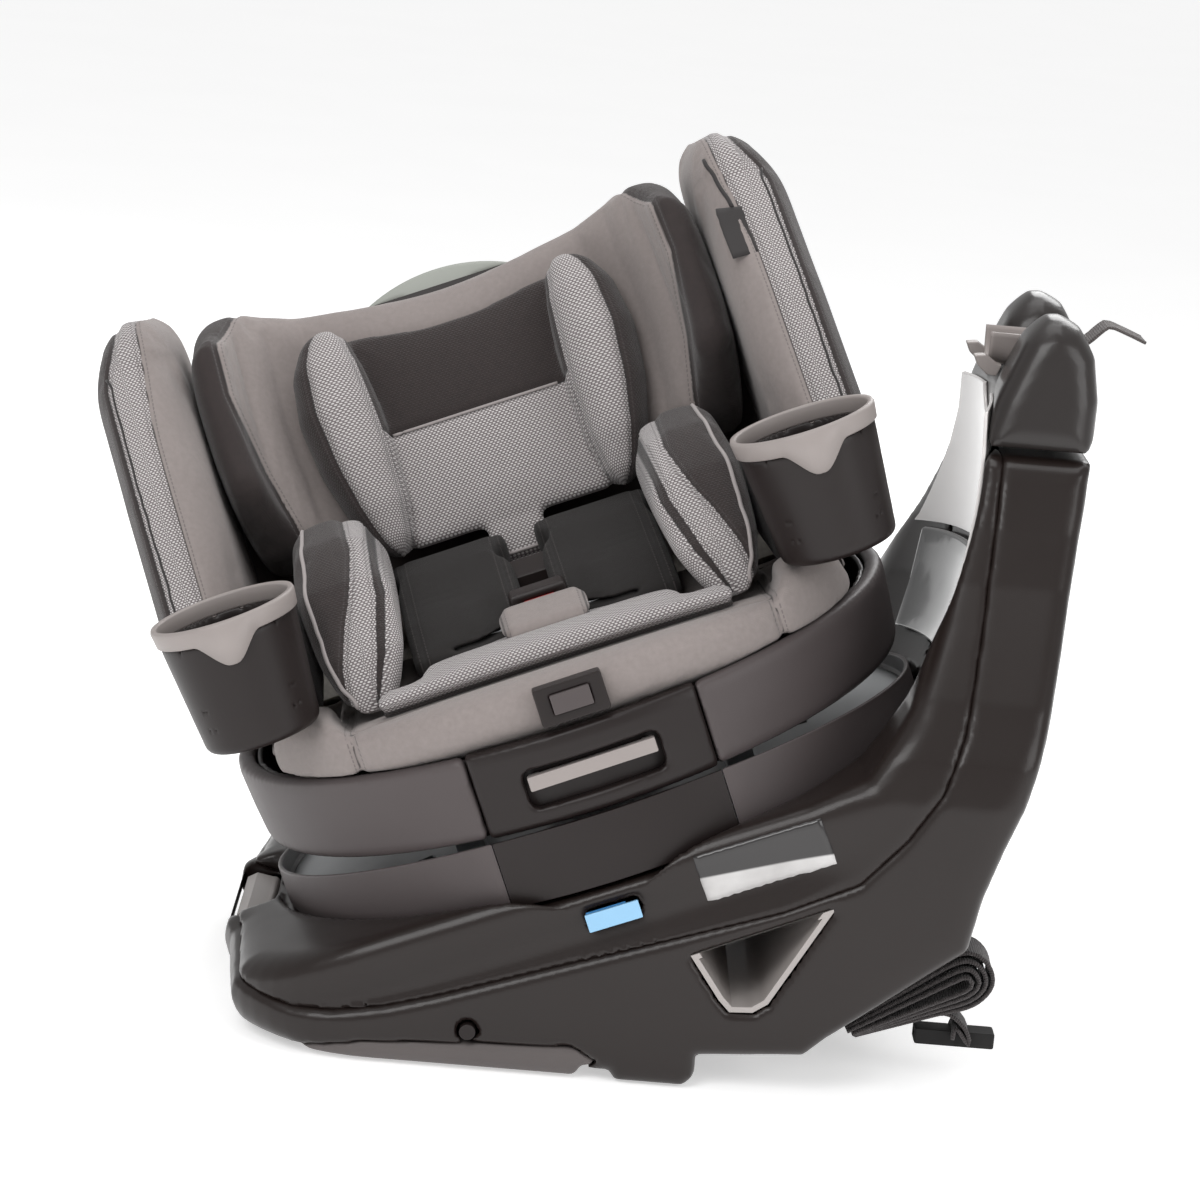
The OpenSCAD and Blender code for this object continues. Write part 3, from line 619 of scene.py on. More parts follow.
RECESS = [(-20, 0), (247, 0), (249, RIM_H), (268, 30), (298, 60), (322, 100), (340, 150), (358, 210),
          (390, 265), (446, 340), (446, 500), (-20, 500)]
SEAM = [(-330, 62), (-268, 46), (-240, 37), (-205, 33), (-176, 35), (-140, 42), (-106, 52), (122, 131),
        (172, 155), (201, 188), (222, 222), (234, 262), (243, 320), (250, 380), (254, 432), (254, 620)]
FOOT = [(-206, 3.9), (-190, -2), (-8, -2), (-4, 7), (6, 14), (-12, 24), (-80, 21), (-154, 16), (-190, 9)]
BELT_V = [(62, 96), (158, 138), (118, 66), (108, 59), (92, 58), (84, 66)]
BASE_STEP = 3.0
# The parting line is a rounded groove: both halves overlap a little on a thickened wall
SEAM_ROUND = 4.5
SEAM_GAP = -0.6
SEAM_WALL = 13
SCREW_X, SCREW_Z = -84, 30
WINDOW_X, WINDOW_Z = 8, 121
# Where the seat's locking pin comes through the rim
PIN_REACH = 150
PIN_X = -PIN_REACH * math.cos(TILT)


def over_turntable(x, y, z):
    """Radius from the turntable's axis and height over the turntable."""
    along = x * math.cos(TILT) + (z - TURNTABLE_H) * math.sin(TILT)
    return np.hypot(along, y), -x * math.sin(TILT) + (z - TURNTABLE_H) * math.cos(TILT)


def near_indicator(x, z):
    """Coordinates along and across the rim from the indicator window's centre."""
    dx, dz = x - WINDOW_X, z - WINDOW_Z
    return dx * math.cos(TILT) + dz * math.sin(TILT), -dx * math.sin(TILT) + dz * math.cos(TILT)


def base_body(x, y, z):
    """The whole base as one block: its side, end and plan outlines together."""
    body = smax(outline(x, z, BASE_SIDE), outline(y, z, BASE_ACROSS), EDGE_BLEND)
    return smax(body, outline(x, y, BASE_PLAN), PLAN_BLEND)


def base_shells():
    """The base's hollow block, cut along its parting line into an upper and a lower moulding."""
    low, high = (-278, -262, -6), (322, 262, CAP_Z + 6)
    x, y, z = grid(low, high, BASE_STEP)
    body = base_body(x, y, z)
    radius, height = over_turntable(x, y, z)
    bowl = outline(radius, height, RECESS)
    seam = outline(x, z, SEAM + [(620, -80), (-330, -80)])
    flare = 7 * bell(height, -26, 20) * smoothstep(190, 120, x + 0 * y)
    solid = smax(body + flare * smoothstep(-6, 6, seam), -bowl, 6)
    across, up = near_indicator(x, z)
    pocket = rounded(slab(across, -44 - 0.5 * np.clip(up, -20, 20), 46), slab(up, -15, 12), 7)
    pocket = np.maximum(pocket, y + BASE_HALF_W - 7)
    solid = smax(solid, -pocket, 4)
    shell = np.maximum(solid, -(solid + SHELL_T + SEAM_WALL * bell(seam, 0, 16)))
    lever = rounded(rounded(slab(x, -262, -233), slab(y, -64, 64), 8), slab(z, 21, 120), 4)
    shell = smax(shell, -lever, 4)
    window = rounded(rounded(slab(across, -19, 19), slab(up, -6.5, 6.5), 3), slab(y, -280, -225), 0.5)
    upper = smax(shell, SEAM_GAP - seam, SEAM_ROUND)
    upper = smax(upper, -window, 1.5)
    centre_hole = np.maximum(radius - 31, slab(height, -30, 12))
    pin_hole = np.maximum(np.hypot(x - PIN_X, y) - 9, slab(height, -30, 6))
    upper = np.maximum(np.maximum(upper, -centre_hole), -pin_hole)
    moulding("base_upper_moulding", upper, low, BASE_STEP, BASE, "shell_dark", "base", "shell_dark",
             "base_upper_shell")
    lower = smax(shell, seam + SEAM_GAP, SEAM_ROUND)
    foot_room = outline(x, z, FOOT) - 0.4
    belt_room = outline(x, z, BELT_V)
    screws = np.maximum(np.hypot(x - SCREW_X, z - SCREW_Z) - 7, BASE_HALF_W - 20 - np.abs(y))
    lower = smax(smax(lower, -foot_room, 1.5), -belt_room, 4)
    lower = smax(lower, -screws, 3)
    moulding("base_lower_moulding", lower, low, BASE_STEP, BASE, "shell_dark", "base", "shell_dark",
             "base_lower_shell")


def front_foot():
    """The foot let into the base's underside, coloured a lighter grey than the shell: painted reflection of
    the pale floor on its down-facing face.
    """
    low, high = (-212, -262, -6), (10, 262, 28)
    step = 3
    x, y, z = grid(low, high, step)
    field = smax(base_body(x, y, z) + 0.8, outline(x, z, FOOT), 3)
    moulding("foot_moulding", field, low, step, BASE, "foot_grey", "base", "foot_grey", "front_foot")


CAP_SIDE = [(236, CAP_Z + 0.4), (317, CAP_Z + 0.4), (318, 470), (313, 500), (302, 520), (288, 531),
            (276, 529), (264, 510), (248, 470)]
CAP_SADDLE = [(-22, 488), (-16, 476), (16, 476), (22, 488)]
CAP_ACROSS = ([(-104, CAP_Z)] + arc(-58, 498, 35, 172, 12, 12) + CAP_SADDLE
              + arc(58, 498, 35, 168, 8, 12) + [(104, CAP_Z)])


def column_cap():
    """The two-humped cap on the column, and the light lining of its slot."""
    low, high = (228, -110, CAP_Z - 4), (324, 110, 538)
    step = 2.5
    x, y, z = grid(low, high, step)
    field = smax(outline(x, z, CAP_SIDE), outline(y, z, CAP_ACROSS), 22)
    field = smax(field, CAP_Z + 0.6 - z, 2)
    radius, height = over_turntable(x, y, z)
    field = smax(field, -outline(radius, height, RECESS), 5)
    field = np.maximum(field, -(field + 4.5))
    moulding("cap_moulding", field, low, step, BASE, "cap_grey", "base", "shell_dark", "column_cap")
    slot = [(19, 500), (16, 484), (9, 478), (0, 476.5), (-9, 478), (-16, 484), (-19, 500)]
    path = smooth_path([(262, y, z + 4) for y, z in slot], 3)
    lining, faces = sweep(path, band_section(34, 2.2), (1, 0, 0))
    obj = new_object("cap_slot_lining", lining, faces, BASE, "trim_light")
    settle(obj, "base", "trim_light")


# ---------- seat mouldings ----------
PAN_R = 232
DECK_Z = 113
BOWL_TOP = 112.5
BOWL_PROFILE = [(233, 54), (237, 53.5), (240, 58), (242.5, 80), (244.5, 106), (243.5, 111.5), (241, BOWL_TOP),
                (233, BOWL_TOP)]
SIDE_PLATE = [(-30, 100), (-46, 150), (-44, 205), (18, 310), (66, 376), (104, 404), (150, 412), (238, 400),
              (262, 372), (190, 215), (130, 100)]
INNER_HALF_W = 211
SHELL_TOP = 276


def into_back(y, z):
    """Seat coordinates as depth into the backrest and height along it."""
    dy, dz = y - BACK_FOOT.y, z - BACK_FOOT.z
    return dy * math.cos(LEAN) - dz * math.sin(LEAN), dy * math.sin(LEAN) + dz * math.cos(LEAN)


def seat_bowl():
    """The grey bowl round the pan, and the dark cover with its pocket that fills the bowl's front."""
    low, high = (-250, -250, 48), (250, 250, 118)
    step = 3.0
    x, y, z = grid(low, high, step)
    ring = outline(np.hypot(x, y), z, BOWL_PROFILE) - 0.6
    front = smax(slab(x, -82, 82), y + 150, 1)
    bowl = smax(ring, -front, 3)
    moulding("bowl_moulding", bowl, low, step, SEAT, "shell_grey", "seat", "bowl_grey", "seat_bowl")
    low, high = (-90, -252, 48), (90, -218, 118)
    step = 2.0
    x, y, z = grid(low, high, step)
    ring = outline(np.hypot(x, y), z, BOWL_PROFILE) - 1.4
    cover = smax(smax(ring, slab(x, -81, 81), 3), y + 150, 1)
    pocket = rounded(rounded(slab(x, -48, 48), slab(z, 66, 94), 6), slab(y, -300, -150), 1)
    cover = smax(cover, -pocket, 3)
    for slot_x in (-62, 62):
        slot = rounded(slab(x, slot_x - 8, slot_x + 8), slab(z, 100, 103), 1.4)
        cover = smax(cover, -rounded(slot, slab(y, -300, -243), 1), 1)
    moulding("front_cover_moulding", cover, low, step, SEAT, "seat_dark", "seat", "shell_dark",
             "front_cover")


def seat_back_shell():
    """The inner seat moulding: pan, deck, back with its ribs, and the two side plates."""
    low, high = (-240, -240, 48), (240, 290, 420)
    step = 4.0
    x, y, z = grid(low, high, step)
    radius = np.hypot(x, y)
    pan_out = rounded(radius - PAN_R, slab(z, 52, 112), 4)
    pan = np.maximum(pan_out, -np.maximum(radius - PAN_R + SHELL_T, 57 - z))
    depth, up = into_back(y, z)
    bulge = 12 * np.sqrt(np.clip(1 - (x / 230) ** 2, 0, 1)) * smoothstep(0, 60, up)
    bulge = bulge * smoothstep(SHELL_TOP + 25, SHELL_TOP - 70, up)
    ribs = 2.2 * (bell(np.abs(x), 70, 5) + bell(np.abs(x), 150, 5)) * smoothstep(40, 80, up)
    behind = depth - 36 - bulge + ribs
    slabs = rounded(np.maximum(31 - depth, behind), smax(slab(x, -214, 214), slab(up, -20, SHELL_TOP), 30), 5)
    plates = rounded(outline(y, z, SIDE_PLATE), slab(np.abs(x), INNER_HALF_W, INNER_HALF_W + 5), 2.4)
    upper = smin(slabs, plates, 8)
    upper = np.where(z > DECK_Z, upper, np.maximum(upper, radius - PAN_R + 1))
    deck = np.maximum(np.maximum(np.abs(z - 108.5) - 2.5, radius - PAN_R + 2), 31 - depth)
    tracks = np.maximum(slab(np.abs(x), 88, 112), slab(y, -206, 125))
    tracks = np.maximum(tracks, -(np.hypot(y, z - 400) - 371))
    harness = rounded(rounded(slab(np.abs(x), 26, 72), slab(up, 60, 112), 6), slab(depth, 0, 60), 1)
    shell = smin(smin(pan, upper, 4), deck, 3)
    shell = np.maximum(np.maximum(shell, -tracks), -harness)
    moulding("seat_shell_moulding", shell, low, step, SEAT, "seat_dark", "seat",
             "shell_dark", "seat_shell")


# ---------- cup holders ----------
CUP_X, CUP_Y, CUP_FLOOR, CUP_H = 208, -160, 156, 94
CUP_R = 50
CUP_TAPER = 9
RIM_BAND = 13


def cup_radius(z):
    return CUP_R - CUP_TAPER * (1 - (z - CUP_FLOOR) / CUP_H)


def turned_ring(profile_at, count):
    """Closed skin from a closed profile (radius, z) at each angle round a vertical axis."""
    points, faces = [], []
    for i in range(count):
        angle = 2 * math.pi * i / count
        profile = profile_at(angle)
        points += [(r * math.cos(angle), r * math.sin(angle), z) for r, z in profile]
    sides = len(profile)
    for i in range(count):
        for j in range(sides):
            a, b = i * sides + j, i * sides + (j + 1) % sides
            c, d = (i + 1) % count * sides + (j + 1) % sides, (i + 1) % count * sides + j
            faces.append((a, b, c, d))
    return np.array(points), faces


def cup_holder(side):
    """Cup at one side: a tapered black cup, and a light rim band with a plain pointed badge at the front."""
    label = "right" if side > 0 else "left"
    top = CUP_FLOOR + CUP_H
    low, high = (side * CUP_X - 56, CUP_Y - 56, CUP_FLOOR - 4), (side * CUP_X + 56, CUP_Y + 56, top + 4)
    step = 2.0
    x, y, z = grid(low, high, step)
    radius = np.hypot(x - side * CUP_X, y - CUP_Y)
    taper = cup_radius(z)
    outer = rounded(radius - taper + 0.4, slab(z, CUP_FLOOR, top - 10), 6)
    inner = rounded(radius - taper + 3.4, slab(z, CUP_FLOOR + 3, top + 30), 6)
    cup = smax(outer, -inner, 1)
    moulding(f"cup_{label}_moulding", cup, low, step, SEAT, "seat_dark", f"cup_holder_{label}",
             "shell_dark", f"cup_{label}")

    def band(angle):
        front = abs((angle + math.pi / 2 + math.pi) % (2 * math.pi) - math.pi) * CUP_R
        badge = 18 * float(smoothstep(25, 2, front))
        foot = top - RIM_BAND - badge
        ease = 1.6 + 0.8 * min(1, badge / 6)
        return [(cup_radius(foot) + 0.4, foot), (cup_radius(foot) + ease, foot + 0.8),
                (cup_radius(top) + ease, top - 2), (cup_radius(top) + 0.8, top), (cup_radius(top) - 2.2, top),
                (cup_radius(top) - 3.2, top - 1.5), (cup_radius(foot) - 0.18, top - RIM_BAND + 2)]

    points, faces = turned_ring(band, 144)
    points = points + (side * CUP_X, CUP_Y, 0)
    rim = new_object(f"cup_rim_{label}_moulding", points, [face[::-1] for face in faces], SEAT,
                     "trim_light")
    settle(rim, f"cup_holder_{label}", "trim_light", f"cup_rim_{label}")


# ---------- soft goods ----------
SOFT_STEP = 5.0
SWELL_FRAMES = 20
PRESSURE = 4.0


class Pad:
    """A padded piece: its starting field, how its cover is laid out, and where it goes.

    cover(points) gives, for points of the piece's frame, millimetres into the dotted mesh, into the black
    zone (black fabric; painted shade on the front roll and the cushion's back) and from the nearest seam, and
    the cloth's two coordinates."""

    def __init__(self, name, field, low, high, place, cover, body, slot, nodes, cap=7.0, groove=2.2,
                 step=SOFT_STEP, material="cover"):
        self.name, self.place, self.cover = name, place, cover
        self.body, self.slot, self.nodes = body, slot, nodes
        self.cap, self.groove = cap, groove
        points, quads = skin(np.asarray(field(*grid(low, high, step))), low, step)
        self.obj = new_object(name, points, quads, place, material)

    def pin(self):
        """Seams hold their place while the cloth between them swells."""
        group = self.obj.vertex_groups.new(name="seams")
        seam = self.cover(local(self.obj, self.place))[2]
        group.add([int(i) for i in np.flatnonzero(seam < SOFT_STEP * 0.6)], 1.0, "REPLACE")

    def start_swelling(self):
        self.pin()
        self.before = local(self.obj, self.place)
        cloth = self.obj.modifiers.new("swell", "CLOTH")
        cloth.settings.quality = 4
        cloth.settings.use_pressure = True
        cloth.settings.uniform_pressure_force = PRESSURE
        cloth.settings.effector_weights.gravity = 0
        cloth.settings.vertex_group_mass = "seams"
        cloth.collision_settings.use_collision = False
        cloth.point_cache.frame_end = SWELL_FRAMES

    def stop_swelling(self):
        """Keeps the swollen shape, with each point's move held within the cap."""
        graph = bpy.context.evaluated_depsgraph_get()
        swollen = self.obj.evaluated_get(graph).data
        after = np.zeros(len(swollen.vertices) * 3)
        swollen.vertices.foreach_get("co", after)
        after = (np.c_[after.reshape(-1, 3) / MM, np.ones(len(swollen.vertices))]
                 @ np.array(self.place.inverted()).T)[:, :3]
        self.obj.modifiers.clear()
        move = after - self.before
        length = np.linalg.norm(move, axis=1)[:, None] + 1e-9
        set_points(self.obj, self.before + move / length * self.cap * np.tanh(length / self.cap), self.place)

    def finish(self):
        """Subdivides, sinks the seams, and stores the cover's layout for the material."""
        self.obj.vertex_groups.clear()
        self.obj.modifiers.new("smooth", "SUBSURF").levels = 1
        apply_modifiers(self.obj)
        points = local(self.obj, self.place)
        normals = np.zeros(len(points) * 3)
        self.obj.data.vertices.foreach_get("normal", normals)
        normals = normals.reshape(-1, 3) @ np.array(self.place.to_3x3())
        seam = self.cover(points)[2]
        points = points - normals * (self.groove * np.exp(-((seam / 3.2) ** 2)))[:, None]
        set_points(self.obj, points, self.place)
        mesh_zone, black_zone, seam, u, v = self.cover(points)
        set_vector(self.obj, "zones", np.stack([mesh_zone, black_zone, seam], 1))
        set_vector(self.obj, "weave", np.stack([u, v, 0 * u], 1))
        return settle(self.obj, self.body, self.slot, *self.nodes)


def run_of(y, z, points):
    """Distance along an open outline to the point nearest (y, z)."""
    best, run, start = np.full(len(y), 1e12), np.zeros(len(y)), 0.0
    for (ay, az), (by, bz) in zip(points, points[1:]):
        length = math.hypot(by - ay, bz - az)
        t = np.clip(((y - ay) * (by - ay) + (z - az) * (bz - az)) / length ** 2, 0, 1)
        away = np.hypot(y - ay - t * (by - ay), z - az - t * (bz - az))
        run = np.where(away < best, start + t * length, run)
        best = np.minimum(best, away)
        start += length
    return run


def unrolled(points, side_outline, middle):
    """Cloth coordinates of a pad cut from a side outline: across its edge, and along the outline."""
    x, y, z = points.T
    inside = np.maximum(-outline(y, z, side_outline), 0)
    return x + np.sign(x - middle) * inside, run_of(y, z, side_outline + side_outline[:1])


FAR = 1e3
WING_FRONT = [(-58, 158), (-60, 205), (8, 322)] + arc(108, 388, 40, 165, 75)
WING_SIDE = WING_FRONT + [(240, 412), (272, 384), (226, 280), (182, 158)]
WING_X = (203, 264)
WING_SEAMS = (229, 254)


def wing_field(x, y, z):
    side = outline(y, z, WING_SIDE) + 1.5
    thin = 20 * smoothstep(380, 436, z)
    return rounded(side, slab(x, WING_X[0], WING_X[1] - thin), 21)


def wing_cover(points):
    x, _, z = points.T
    u, v = unrolled(points, WING_SIDE, 240)
    outer = WING_SEAMS[1] - 20 * smoothstep(380, 436, z)
    inner = WING_SEAMS[0] - 8 * smoothstep(340, 430, z)
    strip = np.minimum(x - inner, outer - x)
    return strip, x - outer, np.minimum(np.abs(x - inner), np.abs(x - outer)), u, v


ARMREST_SIDE = [(-109, 136), (-107, 214), (-92, 230), (8, 225), (29, 204), (29, 150), (20, 132)]


def armrest_field(x, y, z):
    return rounded(outline(y, z, ARMREST_SIDE) + 1.5, slab(x, 167, 207), 14)


def armrest_cover(points):
    x = points[:, 0]
    u, v = unrolled(points, ARMREST_SIDE, 187)
    return 0 * x - FAR, 0 * x + FAR, np.abs(x - 187), u, v


INSERT_SIDE = [(-152, 143), (-140, 186), (-104, 232), (-62, 256), (-12, 261), (26, 250), (56, 215), (62, 170),
               (50, 138), (-118, 138)]
INSERT_IN = [(134, 118), (150, 112), (180, 99), (215, 95), (245, 102), (262, 116)]
INSERT_OUT = [(134, 142), (150, 150), (180, 159), (215, 162), (245, 160), (262, 152)]
INSERT_PANEL = [(134, 0.96), (150, 0.92), (175, 0.78), (205, 0.58), (232, 0.36), (256, 0.16)]
INSERT_STRIPE = [(134, 0.5), (160, 0.36), (190, 0.24), (225, 0.1), (256, -0.05)]


def insert_field(x, y, z):
    wide = slab(x, follow(z, INSERT_IN), follow(z, INSERT_OUT))
    depth, _ = into_back(y, z)
    field = rounded(outline(y, z, INSERT_SIDE) + 1.5, wide, 13)
    return smax(field, depth + 4, 8)


def insert_cover(points):
    x, _, z = points.T
    low, high = follow(z, INSERT_IN), follow(z, INSERT_OUT)
    width = high - low
    share = (x - low) / width
    u, v = unrolled(points, INSERT_SIDE, 128)
    panel = (share - follow(z, INSERT_PANEL)) * width
    half = 0.05 * np.sqrt(np.clip(1 - ((z - 196) / 52) ** 2, 0, 1))
    stripe = (half - np.abs(share - follow(z, INSERT_STRIPE))) * width
    black = np.maximum(panel, stripe)
    seam = np.minimum(np.abs(panel), np.where(half > 0.01, np.abs(stripe), FAR))
    return 0 * x + FAR, black, seam, u, v


ROLL_SIDE = [(-166, 143), (-176, 150), (-170, 159), (-142, 161), (-96, 152), (-20, 146), (34, 149), (58, 162),
             (72, 184), (78, 198), (90, 196), (84, 174), (66, 144), (56, 134), (-100, 137)]
ROLL_FRONT_Y, ROLL_EDGE_Z = -140, 146


def roll_field(x, y, z):
    reach = 96 + 32 * smoothstep(-150, -158, y)
    return rounded(outline(y, z + 2 * (x / 120) ** 2, ROLL_SIDE), np.abs(x) - reach, 5)


def roll_cover(points):
    x, y, z = points.T
    # Black below ROLL_EDGE_Z along the front: painted shade under the roll's edge
    front = np.where(y < ROLL_FRONT_Y, ROLL_EDGE_Z - z, -FAR)
    return 0 * x + FAR, front, np.abs(front), x, run_of(y, z, ROLL_SIDE)


CUSHION_SIDE = [(-234, 115), (-240, 132), (-236, 145), (-224, 150), (-200, 147), (-120, 135), (40, 129),
                (68, 118), (60, 106), (-200, 106)]
CUSHION_SEAM_X, CUSHION_SEAM_Y = 152, -176
CUSHION_BACK_Z = 168


def cushion_field(x, y, z):
    disc = np.hypot(x, y) - 240
    deck = smax(smax(outline(y, z, CUSHION_SIDE) + 1, disc, 14), slab(x, -236, 236), 6)
    under_cups = rounded(rounded(slab(np.abs(x), 160, 237), slab(y, -219, -111), 14), slab(z, 113, 154), 10)
    field = smin(deck, smax(under_cups, disc, 12), 14)
    depth, up = into_back(y, z)
    back = rounded(rounded(slab(x, -208, 208), slab(up, 20, 264), 12), slab(depth, 0, 9), 4)
    field = smin(field, back, 10)
    arms = rounded(slab(np.abs(x), 160, 400), slab(y, -110, 60), 4)
    field = smax(field, -np.maximum(arms, DECK_Z - 1 - z), 3)
    below = np.maximum(z - DECK_Z, np.hypot(x, y) - 225)
    return np.where(z > DECK_Z, field, np.maximum(field, below))


def cushion_cover(points):
    x, y, z = points.T
    seam = np.where(y < -60, np.abs(np.abs(x) - CUSHION_SEAM_X), FAR)
    cross = np.where((np.abs(x) < CUSHION_SEAM_X) & (y < -150), np.abs(y - CUSHION_SEAM_Y), FAR)
    # Black above CUSHION_BACK_Z: painted shade on the cushion's back behind the inserts, pillow and pads
    return 0 * x - FAR, z - CUSHION_BACK_Z, np.minimum(seam, cross), x, y - z


HEAD_Z0, HEAD_Z1 = 92, 298
HEAD_DIP = 18.5
HEAD_CORNER_R = 26
HEAD_HALF = [(0, -42), (118, -42), (146, -58), (168, -84), (173, -104)] + arc(189, -112, 16.5, 175, 365) + [
    (207, -40), (205, -16), (196, -4), (164, -2), (162, -13), (0, -13)]
HEAD_PLAN = HEAD_HALF + [(-x, y) for x, y in reversed(HEAD_HALF)]
HEAD_WIDTH = [(92, 0.91), (130, 0.94), (170, 0.955), (225, 0.955), (260, 0.94), (298, 0.915)]
HEAD_SEAM = [(92, 150), (120, 155), (160, 164), (215, 171), (258, 169), (298, 150)]


def headrest_top(x):
    return HEAD_Z1 - 2 - HEAD_DIP * smoothstep(160, 0, np.abs(x))


def headrest_field(x, y, z):
    plan = outline(x / follow(z, HEAD_WIDTH), y, HEAD_PLAN) + 1
    top = z - headrest_top(x) + 34 * smoothstep(-48, -126, y) ** 1.5
    side = np.abs(x) - 206 * follow(z, HEAD_WIDTH)
    field = np.maximum(smax(rounded(plan, top, 12), rounded(side, top, HEAD_CORNER_R), 4), HEAD_Z0 - z)
    chin = (HEAD_Z0 + 6) + 0.62 * np.maximum(0, -62 - y)
    return smax(field, chin - z, 14)


def headrest_cover(points):
    x, y, z = points.T
    edge = np.abs(x) - follow(z, HEAD_SEAM)
    back = y + 17
    black = np.maximum(edge, back)
    seam = np.where(y < -50, np.abs(edge), np.minimum(np.abs(edge), np.abs(back)))
    return 0 * x - FAR, black, seam, x - y, z


PILLOW_PANEL_Z = 166
PILLOW_TOP = 251
BOLSTER_X = [(70, 86), (100, 91), (140, 96), (190, 100), (230, 99), (256, 94)]
BOLSTER_HALF = [(70, 6), (84, 15), (110, 24), (150, 30), (190, 31), (225, 27), (246, 19), (257, 9)]
FLAP_HALF = 22
FLAP_END = 48


def pillow_field(x, y, z):
    top = PILLOW_TOP - 9 * smoothstep(85, 10, np.abs(x))
    middle = rounded(rounded(slab(x, -98, 98), slab(y, -57, -43.5), 6), np.maximum(78 - z, z - top), 6)
    flap = rounded(slab(x, -FLAP_HALF, FLAP_HALF), slab(z, FLAP_END, 110), 8)
    middle = smin(middle, rounded(flap, slab(y, -57, -45), 5), 4)
    half = follow(z, BOLSTER_HALF)
    across = (np.abs(x) - follow(z, BOLSTER_X)) / np.maximum(half, 4)
    deep = (y + 67) / np.maximum(half + 4, 8)
    bolster = (np.sqrt(across ** 2 + deep ** 2) - 1) * np.maximum(half, 4) * 0.9
    bolster = smax(bolster, slab(z, 71, 257), 10)
    return smin(middle, smax(bolster, y + 43.5, 4), 3)


def pillow_cover(points):
    x, y, z = points.T
    centre = follow(z, BOLSTER_X)
    turn = np.arctan2(np.abs(x) - centre, -(y + 67))
    half = follow(z, BOLSTER_HALF)
    inner = centre - 0.86 * half
    on_bolster = np.abs(x) > inner
    u = np.where(on_bolster, np.sign(x) * (centre + 28 * turn), x)
    panel = np.minimum(z - PILLOW_PANEL_Z, inner - np.abs(x))
    outer = np.where(on_bolster, (turn - 0.5) * 28, -FAR)
    black = np.maximum(panel, outer)
    seam = np.where(on_bolster, np.abs(outer), np.abs(z - PILLOW_PANEL_Z))
    seam = np.minimum(seam, np.abs(np.abs(x) - inner) + 0.4)
    return 0 * x + FAR, black, seam, u, z


PAD_SIDE = [(-82, 142), (-94, 149), (-90, 160), (-50, 179), (16, 198), (56, 201), (80, 192), (82, 178),
            (40, 166)]
PAD_X = (11, 98)
PAD_STRAP = [(-62, 158), (-44, 160), (40, 180), (96, 180)]
PAD_NECK_Y = 22
PAD_DROOP = 15


def pad_field(x, y, z):
    """A shoulder pad, drawn in to a neck under its flared upper corners."""
    neck = 9 * bell(y, PAD_NECK_Y, 16)
    y = y + PAD_DROOP * smoothstep(30, 52, x) * smoothstep(-20, -90, y)
    wide = slab(x, PAD_X[0] + neck, PAD_X[1] - 0.4 * neck)
    field = rounded(outline(y, z, PAD_SIDE) + 1, wide, 7)
    depth, _ = into_back(y, z)
    strap = np.maximum(slab(x, 29, 69), np.abs(z - follow(y, PAD_STRAP)) - 1.6)
    return smax(smax(field, depth + 4, 6), -(strap + 0.5), 1)


def pad_cover(points):
    x, y, _ = points.T
    edge = np.minimum(x - PAD_X[0], PAD_X[1] - x)
    return 0 * x - FAR, 0 * x + FAR, np.abs(edge - 8), x, y


CROTCH_SIDE = [(-140, 159), (-134, 170), (-108, 178), (-93, 176), (-93, 150)]


def crotch_field(x, y, z):
    return rounded(outline(y, z, CROTCH_SIDE) + 1, np.abs(x) - 33, 7)


def crotch_cover(points):
    x, y, _ = points.T
    return 0 * x - FAR, 0 * x - FAR, np.abs(30 - np.abs(x)), x, y


def make_pads():
    """Every padded piece of the right side and the middle; the left side mirrors the right."""
    right = [
        Pad("wing_right_pad", wing_field, (196, -66, 150), (272, 282, 436), SEAT, wing_cover, "seat",
            "fabric_grey", ["wing_right"], cap=4),
        Pad("armrest_right_pad", armrest_field, (158, -118, 126), (216, 38, 236), SEAT, armrest_cover, "seat",
            "fabric_black", ["armrest_right"], cap=3),
        Pad("insert_right_pad", insert_field, (86, -160, 130), (170, 80, 270), SEAT, insert_cover, "seat",
            "fabric_mesh", ["insert_right"], cap=4, step=4),
        Pad("shoulder_right_pad", pad_field, (4, -122, 134), (106, 92, 208), SEAT, pad_cover, "seat",
            "fabric_black", ["shoulder_pad_right"], cap=3, groove=1.0, step=3, material="pad_cover"),
    ]
    middle = [
        Pad("insert_front_roll", roll_field, (-134, -184, 126), (134, 98, 206), SEAT, roll_cover, "seat",
            "fabric_mesh", ["insert_roll"], cap=3, step=4),
        Pad("seat_cushion_cover", cushion_field, (-246, -246, 100), (246, 240, 370), SEAT, cushion_cover,
            "seat", "fabric_grey", ["seat_cushion"], cap=7),
        Pad("headrest_pad", headrest_field, (-214, -136, 84), (214, 6, 306), BACK, headrest_cover, "headrest",
            "fabric_grey", ["headrest_cover"], cap=4),
        Pad("head_pillow_pad", pillow_field, (-146, -112, 40), (146, -36, 264), BACK, pillow_cover,
            "headrest", "fabric_mesh", ["head_pillow"], cap=4, step=4),
        Pad("crotch_pad_cover", crotch_field, (-42, -148, 144), (42, -84, 198), SEAT, crotch_cover, "seat",
            "fabric_grey", ["crotch_pad"], cap=3, step=3),
    ]
    for pad in right + middle:
        pad.start_swelling()
    for step in range(1, SWELL_FRAMES + 1):
        bpy.context.scene.frame_set(step)
    for pad in right + middle:
        pad.stop_swelling()
    bpy.context.scene.frame_set(1)
    for pad in right + middle:
        pad.finish()
    for pad in right:
        left = mirrored(pad.obj, pad.name.replace("right", "left"), SEAT)
        settle(left, pad.body, pad.slot, *[n.replace("right", "left") for n in pad.nodes])
    return {pad.name: pad for pad in right + middle}


